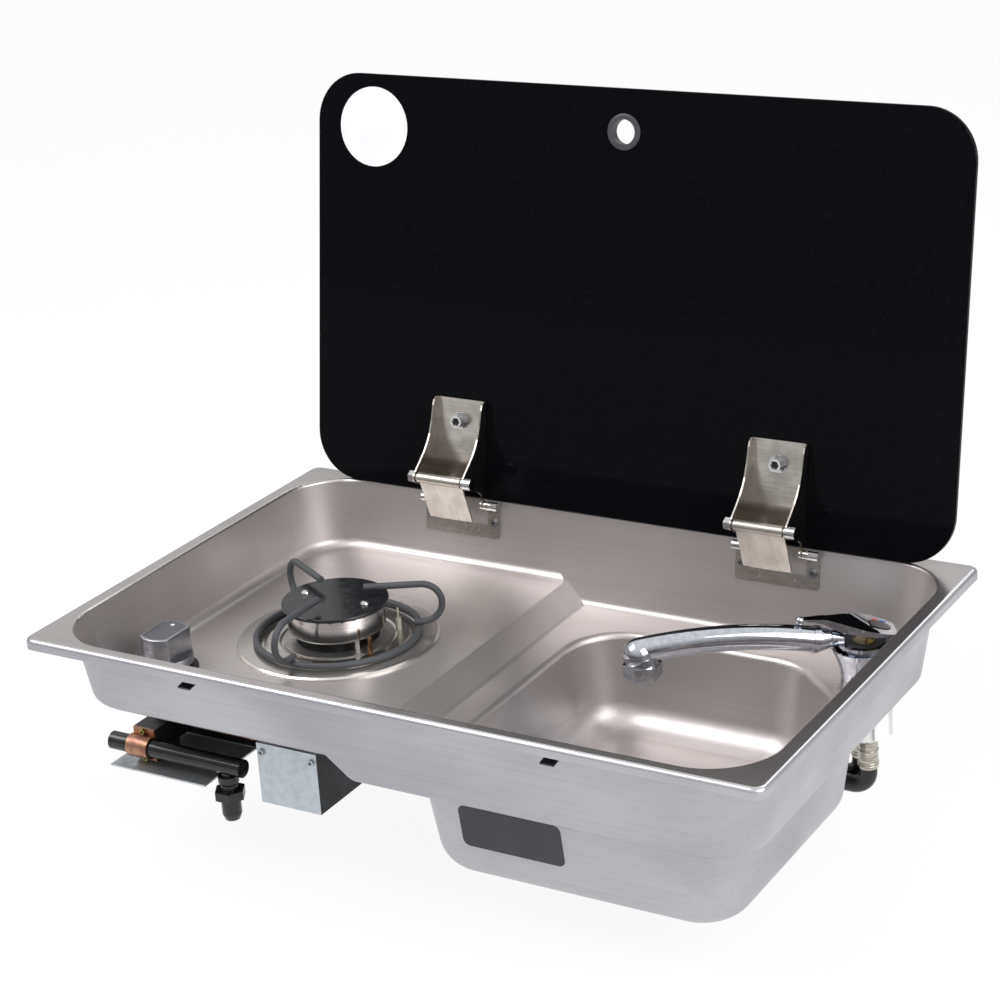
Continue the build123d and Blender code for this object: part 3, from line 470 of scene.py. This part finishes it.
def cross_tree():
    """Crossed bars on every point, turned to lie in a screw head."""
    tree, given = geometry_tree("cross recesses", Length=3.2 * MM, Width=0.9 * MM, Depth=0.4 * MM,
                                Turn=(0.0, 0.0, 0.0))
    long_bar = add(tree, "ShaderNodeCombineXYZ", {"X": given.outputs["Length"], "Y": given.outputs["Width"],
                                                  "Z": given.outputs["Depth"]})
    wide_bar = add(tree, "ShaderNodeCombineXYZ", {"X": given.outputs["Width"], "Y": given.outputs["Length"],
                                                  "Z": given.outputs["Depth"]})
    first = add(tree, "GeometryNodeMeshCube", {"Size": long_bar.outputs["Vector"]})
    second = add(tree, "GeometryNodeMeshCube", {"Size": wide_bar.outputs["Vector"]})
    joined = add(tree, "GeometryNodeJoinGeometry")
    tree.links.new(first.outputs["Mesh"], joined.inputs["Geometry"])
    tree.links.new(second.outputs["Mesh"], joined.inputs["Geometry"])
    close_tree(tree, given, on_points(tree, given, joined.outputs["Geometry"], Rotation=given.outputs["Turn"]))
    return tree


def coil_tree():
    """A screw thread: one spiral with a small rounded profile, on every point."""
    tree, given = geometry_tree("thread coils", Radius=10 * MM, Pitch=1.5 * MM, Turns=8.0, Wire=0.5 * MM)
    height = add(tree, "ShaderNodeMath", {0: given.outputs["Pitch"], 1: given.outputs["Turns"]},
                 operation="MULTIPLY")
    spiral = add(tree, "GeometryNodeCurveSpiral", {
        "Resolution": 40, "Rotations": given.outputs["Turns"], "Start Radius": given.outputs["Radius"],
        "End Radius": given.outputs["Radius"], "Height": height.outputs["Value"]})
    profile = add(tree, "GeometryNodeCurvePrimitiveCircle", {"Resolution": 6, "Radius": given.outputs["Wire"]})
    thread = add(tree, "GeometryNodeCurveToMesh", {"Curve": spiral.outputs["Curve"],
                                                   "Profile Curve": profile.outputs["Curve"], "Fill Caps": True})
    close_tree(tree, given, on_points(tree, given, thread.outputs["Mesh"]))
    return tree


def screen_tree():
    """A round woven wire screen: a square net cut to a disc, each wire a thin rod."""
    tree, given = geometry_tree("aerator screen", Width=20 * MM, Lines=15, Wire=0.22 * MM,
                                Centre=(0.0, 0.0, 0.0))
    net = add(tree, "GeometryNodeMeshGrid", {"Size X": given.outputs["Width"], "Size Y": given.outputs["Width"],
                                             "Vertices X": given.outputs["Lines"],
                                             "Vertices Y": given.outputs["Lines"]})
    where = add(tree, "GeometryNodeInputPosition")
    far = add(tree, "ShaderNodeVectorMath", {0: where.outputs["Position"]}, operation="LENGTH")
    half = add(tree, "ShaderNodeMath", {0: given.outputs["Width"], 1: 0.5}, operation="MULTIPLY")
    outside = add(tree, "FunctionNodeCompare", {0: far.outputs["Value"], 1: half.outputs["Value"]},
                  data_type="FLOAT", operation="GREATER_THAN")
    disc = add(tree, "GeometryNodeDeleteGeometry", {"Geometry": net.outputs["Mesh"],
                                                    "Selection": outside.outputs["Result"]})
    lines = add(tree, "GeometryNodeMeshToCurve", {"Mesh": disc.outputs["Geometry"]})
    profile = add(tree, "GeometryNodeCurvePrimitiveCircle", {"Resolution": 4, "Radius": given.outputs["Wire"]})
    wires = add(tree, "GeometryNodeCurveToMesh", {"Curve": lines.outputs["Curve"],
                                                  "Profile Curve": profile.outputs["Curve"]})
    moved = add(tree, "GeometryNodeTransform", {"Geometry": wires.outputs["Mesh"],
                                                "Translation": given.outputs["Centre"]})
    close_tree(tree, given, moved.outputs["Geometry"])
    return tree


def bead_tree():
    """A flattened weld bead on every point."""
    tree, given = geometry_tree("weld beads", Radius=3 * MM, Squash=(1.0, 1.0, 0.5))
    ball = add(tree, "GeometryNodeMeshIcoSphere", {"Radius": given.outputs["Radius"], "Subdivisions": 3})
    close_tree(tree, given, on_points(tree, given, ball.outputs["Mesh"], Scale=given.outputs["Squash"]))
    return tree


# ---------------------------------------------------------------- settings
class SINKUNIT_PG_pan(bpy.types.PropertyGroup):
    """Pressed steel pan"""
    tone: bpy.props.StringProperty(name="Steel tone", description="Light tone of the sheet, sRGB hex",
                                   default="#C8C3C2")
    dark: bpy.props.StringProperty(name="Steel shade", description="Dark tone of the sheet, sRGB hex",
                                   default="#B9B3B2")
    # Painted shade: the outer face is the same steel, drawn in a darker, bluer tone for how light falls on it.
    outside: bpy.props.StringProperty(name="Outside tone", description="Tone of the outer face, sRGB hex",
                                      default="#B9B9BE")
    rough: bpy.props.FloatProperty(name="Roughness", description="Roughness of the satin face", default=0.4,
                                   min=0.0, max=1.0, subtype="FACTOR")
    grain: bpy.props.FloatProperty(name="Grain", description="Spacing of the brushing, drawn coarse",
                                   default=2.4 * MM, unit="LENGTH")


class SINKUNIT_PG_lid(bpy.types.PropertyGroup):
    """Glass lid"""
    tone: bpy.props.StringProperty(name="Glass", description="Printed glass colour, sRGB hex", default="#08080B")
    disc: bpy.props.StringProperty(name="Disc", description="Plain vinyl disc colour, sRGB hex",
                                   default="#E9E9EC")


class SINKUNIT_PG_details(bpy.types.PropertyGroup):
    """Small repeated details"""
    cross_length: bpy.props.FloatProperty(name="Recess", description="Length of a screw recess",
                                          default=3.4 * MM, unit="LENGTH")
    cross_width: bpy.props.FloatProperty(name="Recess width", description="Width of a screw recess",
                                         default=0.9 * MM, unit="LENGTH")
    screen_lines: bpy.props.IntProperty(name="Screen wires", description="Wires across the aerator screen",
                                        default=17, min=3, max=60)
    thread_pitch: bpy.props.FloatProperty(name="Thread pitch", description="Pitch of the pipe threads",
                                          default=2.3 * MM, unit="LENGTH")


class SINKUNIT_PG_studio(bpy.types.PropertyGroup):
    """Studio"""
    floor: bpy.props.StringProperty(name="Floor", description="Floor colour, sRGB hex", default="#F4F4F4")
    key: bpy.props.FloatProperty(name="Key lamp", description="Power of the main soft lamp", default=33.0,
                                 subtype="POWER")
    fill: bpy.props.FloatProperty(name="Fill lamp", description="Power of the side lamp", default=34.0,
                                  subtype="POWER")
    rear: bpy.props.FloatProperty(name="Rear lamp", description="Power of the lamp behind the lid", default=9.0,
                                  subtype="POWER")
    walls: bpy.props.FloatProperty(name="Room walls", description="Brightness of the walls that metal mirrors",
                                   default=0.42, min=0.0)
    sky: bpy.props.FloatProperty(name="Sky", description="Strength of the surrounding light", default=0.7,
                                 min=0.0)


# ---------------------------------------------------------------- operators
class SINKUNIT_OT_pan(bpy.types.Operator):
    """Finish the pressed pan, its seal, its clips and the bare plate on the bowl"""
    bl_idname = "sinkunit.pan"
    bl_label = "Steel pan"

    def execute(self, context):
        choice = context.scene.sinkunit_pan
        # The outside tones are painted shade: walls facing out from the pan are drawn darker and bluer than the
        # inside.
        dress("sink_pan", pressed_stainless("satin pressed stainless", choice.tone, choice.dark, choice.rough,
                                            choice.grain / MM, outside=(choice.outside, "#A5A5AB"),
                                            centre=mid("sink_pan"), rim=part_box("sink_pan")[1][2]))
        dress("rim_seal", moulded("EPDM rim seal", "#222224", "#18181A", 0.7))
        dress("worktop_clips", painted("black stoved clips", "#1B1B1D", "#35353A", 0.5))
        dress("bowl_plate", moulded("charcoal vinyl plate", "#2C2D32", "#222328", 0.4, depth=0.004))
        return {"FINISHED"}


class SINKUNIT_OT_lid(bpy.types.Operator):
    """Finish the glass lid, its grommet, its pads and its plain disc"""
    bl_idname = "sinkunit.lid"
    bl_label = "Glass lid"

    def execute(self, context):
        choice = context.scene.sinkunit_lid
        dress("glass_lid", black_tempered_glass("black toughened glass", choice.tone))
        dress("finger_grommet", moulded("grey TPE grommet", "#3A3B3F", "#2D2E32", 0.5))
        dress("bracket_pads", moulded("EPDM pads", "#1E1E20", "#151517", 0.7))
        dress("lid_disc", moulded("plain white vinyl disc", choice.disc, "#DDDDE1", 0.38, depth=0.006))
        return {"FINISHED"}


class SINKUNIT_OT_hinges(bpy.types.Operator):
    """Finish the brackets, stays, bases, pins and fasteners of both hinges, and darken the cap sockets"""
    bl_idname = "sinkunit.hinges"
    bl_label = "Lid hinges"

    def execute(self, context):
        strip = bright_steel("polished stainless strip", "#BDB8B2", "#A8A39D", 0.22, depth=0.002)
        dress("lid_brackets", strip)
        dress("hinge_bases", bright_steel("pressed stainless base", "#C2BDB6", "#A9A49D", 0.26, depth=0.002))
        cream = bright_steel("satin stainless stay", "#BDB8B1", "#A9A49D", 0.34, 0.8, (1, 0.03, 0.03), 0.002)
        dress("left_stay_plate", cream)
        dress("right_stay_plate", cream)
        plated = bright_steel("nickel-plated steel", "#CFCFD0", "#ABABAE", 0.12, 2.0, (1, 1, 1), 0.002)
        for node in ("hinge_rods", "hinge_rod_nuts", "pivot_pins", "hinge_screws", "hinge_wall_nuts", "lid_bolts",
                     "lid_bolt_nuts", "lid_bolt_caps"):
            dress(node, plated)
        centre = mid("lid_bolt_caps")
        lo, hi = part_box("lid_bolt_caps")
        spots = [Vector((x, centre.y, centre.z)) for x in (lo[0] + CAP_RADIUS, hi[0] - CAP_RADIUS)]
        shade = painted("shadowed socket floor", "#0B0B0C", "#151517", 0.6)
        discs("cap_sockets", spots, SOCKET_RADIUS, 0.1 * MM, shade, "lid",
              (math.pi / 2 - LID_LEAN, 0.0, 0.0))
        return {"FINISHED"}


class SINKUNIT_OT_burner(bpy.types.Operator):
    """Finish the burner, its dish, its stand and its probes"""
    bl_idname = "sinkunit.burner"
    bl_label = "Burner"

    def execute(self, context):
        dress("burner_dish", pressed_stainless("spun stainless dish", "#D6D1CD", "#C2BDB9", 0.22, 1.6, 0.003))
        dress("burner_ring", bright_steel("satin trim ring", "#D3CFCA", "#B3AFAA", 0.24))
        dress("burner_body", cast_aluminium("raw aluminium casting", "#C2C0BE", "#93918F", 0.36))
        dress("burner_head", turned_satin("turned aluminium head", mid("burner_head"), "#DAD8D6", "#C2C0BE", 0.16))
        dress("burner_cap", painted("semi-gloss enamelled cap", "#17171A", "#27272B", 0.2))
        dress("pan_support", fired_wire("fired black enamel wire"))
        dress("cap_screws", bright_steel("domed plated screws", "#DEDEE0", "#B4B4B8", 0.12))
        dress("spark_electrode", moulded("glazed alumina", "#C2BCAE", "#A8A294", 0.26))
        dress("thermocouple", passivated("heat-tinted probe", "#8E6A52", "#99805A", "#6F564B"))
        dress("jet_holder", turned_brass("brass jet holder"))
        return {"FINISHED"}


class SINKUNIT_OT_knob(bpy.types.Operator):
    """Finish the hob knob, its inset and its seal, and print its dot"""
    bl_idname = "sinkunit.knob"
    bl_label = "Hob knob"

    def execute(self, context):
        dress("knob", turned_satin("satin chromed knob", mid("knob"), "#B3B4BA", "#96979D"))
        dress("knob_inset", moulded("charcoal knob inset", "#55565C", "#484950", 0.4, depth=0.006))
        ink = moulded("white dot ink", "#F2F2F2", "#E2E2E2", 0.4, depth=0.002)
        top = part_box("knob_inset")[1][2]
        spot = mid("knob_inset") + Vector((-2.0, 13.6, 0.0)) * MM
        spot.z = top + 0.07 * MM
        discs("knob_dot", [spot], 1.9 * MM, 0.12 * MM, ink, "control_knob")
        dress("knob_seal", moulded("black silicone seal", "#1D1D1F", "#141416", 0.55))
        dress("push_sleeve", turned_brass("brass push sleeve"))
        dress("valve_stem", turned_brass("brass valve stem", "#B8B6B2", "#85827C"))
        return {"FINISHED"}


class SINKUNIT_OT_gas(bpy.types.Operator):
    """Finish the gas rail, valve, clamp, shelf and box under the hob"""
    bl_idname = "sinkunit.gas"
    bl_label = "Gas train"

    def execute(self, context):
        dress("gas_rail", painted("gloss black gas rail", "#0C0C0E", "#161619", 0.14))
        dress("gas_inlet", painted("black oxide fitting", "#0F0F11", "#1E1E21", 0.26))
        dress("gas_valve", painted("blackened valve block", "#101012", "#222225", 0.34))
        dress("rail_strap", passivated("yellow-passivated strap", "#A9806C", "#AC8C68", "#976A5E", 0.36))
        dress("strap_screws", passivated("passivated screws", "#A39B5A", "#B4A85E", "#8C8E54"))
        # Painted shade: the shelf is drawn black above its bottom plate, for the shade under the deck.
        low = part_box("gas_shelf")[0][2]
        dress("gas_shelf", galvanised("pale zinc shelf", "#BFC3C7", "#A9ADB2", 0.4, shade_above=low + 2 * MM))
        # Painted shade: the box's side faces are drawn near-black.
        dress("spark_box", galvanised("galvanised box", "#BDC4CA", "#B0B8BE", side_shade="#17181A"))
        dress("spark_box_screws", bright_steel("zinc-plated screws", "#B9BEC2", "#8C9196", 0.3))
        dress("feed_pipe", turned_brass("annealed copper pipe", "#B8734E", "#8A4F36", 0.3))
        return {"FINISHED"}


class SINKUNIT_OT_tap(bpy.types.Operator):
    """Finish the mixer tap, its lever, nut, tails and hoses"""
    bl_idname = "sinkunit.tap"
    bl_label = "Mixer tap"

    def execute(self, context):
        chrome = bright_chrome("chromed brass")
        for node in ("tap_base", "spout", "spout_collar", "tap_lever"):
            dress(node, chrome)
        dress("aerator", bright_chrome("chromed aerator", "#D3D5D8", 0.09))
        dress("lever_cap", moulded("smoked cap", "#1B1B20", "#101014", 0.14, depth=0.002))
        away = (mid("aerator") - mid("tap_base")) * Vector((1, 1, 0))
        dress("heat_marks", hot_cold_enamel("hot and cold enamel", mid("heat_marks"), away.normalized()))
        dress("tap_cartridge", moulded("grey acetal cartridge", "#2E2F33", "#222326", 0.45))
        dress("lever_stem", turned_brass("brass lever stem"))
        dress("tap_nut", moulded("white nylon nut", "#E8E8E6", "#DADAD8", 0.45))
        dress("hose_tails", turned_brass("nickelled hose tails", "#C9C3B8", "#938D82", 0.22))
        dress("hoses", moulded("black EPDM hose", "#17171A", "#0E0E10", 0.3, 1.2, 0.03))
        return {"FINISHED"}


class SINKUNIT_OT_drain(bpy.types.Operator):
    """Finish the waste outlet under the bowl"""
    bl_idname = "sinkunit.drain"
    bl_label = "Waste outlet"

    def execute(self, context):
        dress("drain_body", bright_steel("polished waste flange", "#CCC8C4", "#A29E9A", 0.2))
        dress("drain_strainer", bright_steel("pressed strainer", "#C4C0BC", "#98948F", 0.26))
        dress("drain_gasket", moulded("black rubber gasket", "#1C1C1E", "#131315", 0.65))
        dress("drain_nut", moulded("white waste nut", "#DEDEDC", "#CFCFCD", 0.5))
        return {"FINISHED"}


class SINKUNIT_OT_recesses(bpy.types.Operator):
    """Lay dark crosses in the screw heads that show"""
    bl_idname = "sinkunit.recesses"
    bl_label = "Screw recesses"

    def execute(self, context):
        choice = context.scene.sinkunit_details
        dark = painted("shadowed recess", "#0C0C0D", "#19191B", 0.6)
        tree = cross_tree()
        sizes = {"Length": choice.cross_length, "Width": choice.cross_width, "Depth": 0.2 * MM}
        outward = Vector((0, -math.cos(WALL_LEAN), math.sin(WALL_LEAN)))
        upward = Vector((0, math.sin(WALL_LEAN), math.cos(WALL_LEAN)))
        head_radius, apart, proud, drop = 4.6 * MM, 69 * MM, 4.2 * MM, 22 * MM
        row = WALL_TOP - upward * drop + outward * proud
        lo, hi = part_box("hinge_screws")
        spots = []
        for outer in (lo[0] + head_radius, hi[0] - head_radius):
            inner = outer + math.copysign(apart, -outer)
            spots += [Vector((x, 0, 0)) + row for x in (outer, inner)]
        grown("hinge_screw_crosses", spots, tree, dark, "sink", "black_steel",
              Turn=(math.pi / 2 - WALL_LEAN, 0.0, 0.0), **sizes)
        lo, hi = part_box("strap_screws")
        x, head_radius = (lo[0] + hi[0]) / 2, 2.6 * MM
        spots = [(x, lo[1], lo[2] + head_radius), (x, lo[1], hi[2] - head_radius)]
        grown("strap_screw_crosses", spots, tree, dark, "sink", "black_steel", Turn=FRONT_TURN, **sizes)
        lo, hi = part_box("spark_box_screws")
        z, head_radius = (lo[2] + hi[2]) / 2, 3 * MM
        spots = [(lo[0] + head_radius, lo[1], z), (hi[0] - head_radius, lo[1], z)]
        grown("box_screw_crosses", spots, tree, dark, "sink", "black_steel", Turn=FRONT_TURN, **sizes)
        return {"FINISHED"}


class SINKUNIT_OT_threads(bpy.types.Operator):
    """Wind the threads of the waste tail and the tap shank"""
    bl_idname = "sinkunit.threads"
    bl_label = "Pipe threads"

    def execute(self, context):
        choice = context.scene.sinkunit_details
        steel = bright_steel("rolled thread steel", "#BDB9B5", "#8F8B87", 0.3)
        brass = turned_brass("cut brass thread", "#C4BBA0", "#8E8466")
        tree = coil_tree()
        centre, low = mid("drain_body"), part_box("drain_body")[0][2]
        grown("waste_thread", [(centre.x, centre.y, low + 3 * MM)], tree, steel, "sink", "steel",
              Radius=20.9 * MM, Pitch=choice.thread_pitch, Turns=7.0, Wire=0.55 * MM)
        centre, low = mid("tap_base"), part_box("tap_base")[0][2]
        grown("shank_thread", [(centre.x, centre.y, low + 0.5 * MM)], tree, brass, "sink", "brass",
              Radius=16.3 * MM, Pitch=1.0 * MM, Turns=3.0, Wire=0.4 * MM)
        return {"FINISHED"}


class SINKUNIT_OT_crimps(bpy.types.Operator):
    """Roll the crimp rings of the two hose tails"""
    bl_idname = "sinkunit.crimps"
    bl_label = "Crimp rings"

    def execute(self, context):
        nickel = turned_brass("rolled nickel ferrule", "#D2CDC4", "#9C968C", 0.2)
        lo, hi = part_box("hose_tails")
        radius = 8.4 * MM
        centres = [(hi[0] - radius, lo[1] + radius), (lo[0] + radius, hi[1] - radius)]
        spots = [(x, y, lo[2] + up * MM) for x, y in centres for up in (3.0, 5.4, 17.0)]
        grown("ferrule_rings", spots, coil_tree(), nickel, "sink", "brass",
              Radius=radius, Pitch=0.0, Turns=1.0, Wire=0.6 * MM)
        return {"FINISHED"}


class SINKUNIT_OT_screen(bpy.types.Operator):
    """Weave the wire screen in the mouth of the aerator"""
    bl_idname = "sinkunit.screen"
    bl_label = "Aerator screen"

    def execute(self, context):
        choice = context.scene.sinkunit_details
        wire = bright_steel("stainless screen wire", "#BFC0C2", "#8D8E90", 0.25)
        centre, low = mid("aerator"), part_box("aerator")[0][2]
        grown("aerator_screen", [(0, 0, 0)], screen_tree(), wire, "spout_arm", "steel",
              Width=21.6 * MM, Lines=choice.screen_lines, Wire=0.2 * MM,
              Centre=(centre.x, centre.y, low + 2.6 * MM))
        return {"FINISHED"}


class SINKUNIT_OT_welds(bpy.types.Operator):
    """Lay the weld beads where the wire arms meet the ring"""
    bl_idname = "sinkunit.welds"
    bl_label = "Weld beads"

    def execute(self, context):
        bead = painted("enamelled weld", "#2A2B2E", "#3C3D41", 0.4)
        centre, low = mid("burner_head"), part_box("pan_support")[0][2]
        spots = []
        for angle in map(math.radians, ARM_DEGREES):
            out = Vector((math.cos(angle), math.sin(angle), 0))
            across = Vector((-out.y, out.x, 0))
            for side in (-1, 1):
                spot = centre + out * WELD_RADIUS + across * side * 2.6 * MM
                spots.append((spot.x, spot.y, low + 5.6 * MM))
        grown("stand_welds", spots, bead_tree(), bead, "sink", "black_steel",
              Radius=1.9 * MM, Squash=(1.0, 1.0, 0.6))
        return {"FINISHED"}


class SINKUNIT_OT_studio(bpy.types.Operator):
    """Set the camera, the floor, the soft lamps and the white surround"""
    bl_idname = "sinkunit.studio"
    bl_label = "Studio"

    def execute(self, context):
        choice = context.scene.sinkunit_studio
        scene = context.scene
        scene.view_settings.view_transform = "Standard"
        self.aim_camera(scene)
        self.lay_floor(scene, choice)
        self.surround(scene, choice)
        lamps = (("key softbox", (-1.3, -0.9, 1.9), 1.4, choice.key),
                 ("fill softbox", (1.9, -0.5, 1.2), 1.6, choice.fill),
                 ("rear softbox", (0.3, 1.8, 1.6), 1.2, choice.rear))
        for name, spot, size, power in lamps:
            lamp = bpy.data.lights.new(name, "AREA")
            lamp.size = size
            lamp.energy = power
            holder = bpy.data.objects.new(name, lamp)
            holder.location = spot
            holder.rotation_euler = (Vector((0, 0, -0.05)) - Vector(spot)).to_track_quat("-Z", "Y").to_euler()
            scene.collection.objects.link(holder)
        return {"FINISHED"}


    def aim_camera(self, scene):
        """Puts the camera where the photo was taken from."""
        lens = bpy.data.cameras.new("photo camera")
        lens.sensor_width = SENSOR_MM
        lens.lens = LENS_MM
        lens.clip_end = 50.0
        camera = bpy.data.objects.new("photo camera", lens)
        turn = Matrix((EYE_RIGHT, EYE_UP, EYE_BACK)).transposed().to_4x4()
        camera.matrix_world = Matrix.Translation(EYE) @ turn
        scene.collection.objects.link(camera)
        scene.camera = camera

    def lay_floor(self, scene, choice):
        """White paper just under the unit: it takes a shadow, and shines a little where it is looked at."""
        paper, tree = new_material("white paper floor")
        share = maths(tree, "MULTIPLY", ray_is(tree, "Camera", "Glossy", "Transmission"), 0.9)
        tooth = pattern(tree, "ShaderNodeTexNoise", 400.0, Detail=1.0)
        dull = add(tree, "ShaderNodeBsdfDiffuse", {
            "Color": colours(tree, tooth, (0.2, choice.floor), (0.8, "#F6F6F6"))})
        glow = add(tree, "ShaderNodeEmission", {"Color": (1, 1, 1, 1), "Strength": 1.0})
        blend = add(tree, "ShaderNodeMixShader", {
            0: share, 1: dull.outputs["BSDF"], 2: glow.outputs["Emission"]})
        add(tree, "ShaderNodeOutputMaterial", {"Surface": blend.outputs["Shader"]})
        mesh = bpy.data.meshes.new("floor")
        shape = bmesh.new()
        bmesh.ops.create_circle(shape, cap_ends=True, segments=64, radius=20.0)
        bmesh.ops.translate(shape, verts=shape.verts, vec=(0, 0, CAD_BOX[0][2] - 0.5 * MM))
        shape.to_mesh(mesh)
        shape.free()
        mesh.materials.append(paper)
        floor = bpy.data.objects.new("floor", mesh)
        scene.collection.objects.link(floor)

    def surround(self, scene, choice):
        """White behind the unit; metal mirrors a room that is grey low down and bright above."""
        world = bpy.data.worlds.new("white surround")
        scene.world = world
        world.use_nodes = True
        tree = world.node_tree
        tree.nodes.clear()
        seen = ray_is(tree, "Camera", "Glossy", "Transmission")
        direct = ray_is(tree, "Camera", "Transmission")
        room = between(tree, height_in(tree, "Generated"), choice.walls, 1.1, 0.2, 0.75)
        strength = mixed(tree, direct, mixed(tree, seen, choice.sky, room), 1.0)
        light = add(tree, "ShaderNodeBackground", {"Color": (1, 1, 1, 1), "Strength": strength})
        add(tree, "ShaderNodeOutputWorld", {"Surface": light.outputs["Background"]})


class SINKUNIT_PT_panel(bpy.types.Panel):
    """Lists the sizes, finishes and steps of the sink unit"""
    bl_idname = "SINKUNIT_PT_panel"
    bl_label = "Sink unit"
    bl_space_type = "VIEW_3D"
    bl_region_type = "UI"
    bl_category = "Sink unit"

    def draw(self, context):
        for group in SETTINGS:
            box = self.layout.box()
            values = getattr(context.scene, group)
            for name in values.__annotations__:
                box.prop(values, name)
        for step in STEPS:
            self.layout.operator(step.bl_idname)


SETTINGS = {"sinkunit_pan": SINKUNIT_PG_pan, "sinkunit_lid": SINKUNIT_PG_lid,
            "sinkunit_details": SINKUNIT_PG_details, "sinkunit_studio": SINKUNIT_PG_studio}
STEPS = (SINKUNIT_OT_studio, SINKUNIT_OT_pan, SINKUNIT_OT_lid, SINKUNIT_OT_hinges, SINKUNIT_OT_burner,
         SINKUNIT_OT_knob, SINKUNIT_OT_gas, SINKUNIT_OT_tap, SINKUNIT_OT_drain, SINKUNIT_OT_recesses,
         SINKUNIT_OT_threads, SINKUNIT_OT_crimps, SINKUNIT_OT_screen, SINKUNIT_OT_welds)


def register():
    for kind in list(SETTINGS.values()) + list(STEPS) + [SINKUNIT_PT_panel]:
        bpy.utils.register_class(kind)
    for name, kind in SETTINGS.items():
        setattr(bpy.types.Scene, name, bpy.props.PointerProperty(type=kind))


def unregister():
    for name in SETTINGS:
        delattr(bpy.types.Scene, name)
    for kind in reversed(list(SETTINGS.values()) + list(STEPS) + [SINKUNIT_PT_panel]):
        bpy.utils.unregister_class(kind)


def main():
    register()
    for step in STEPS:
        family, name = step.bl_idname.split(".")
        getattr(getattr(bpy.ops, family), name)()


if __name__ == "__main__":
    main()
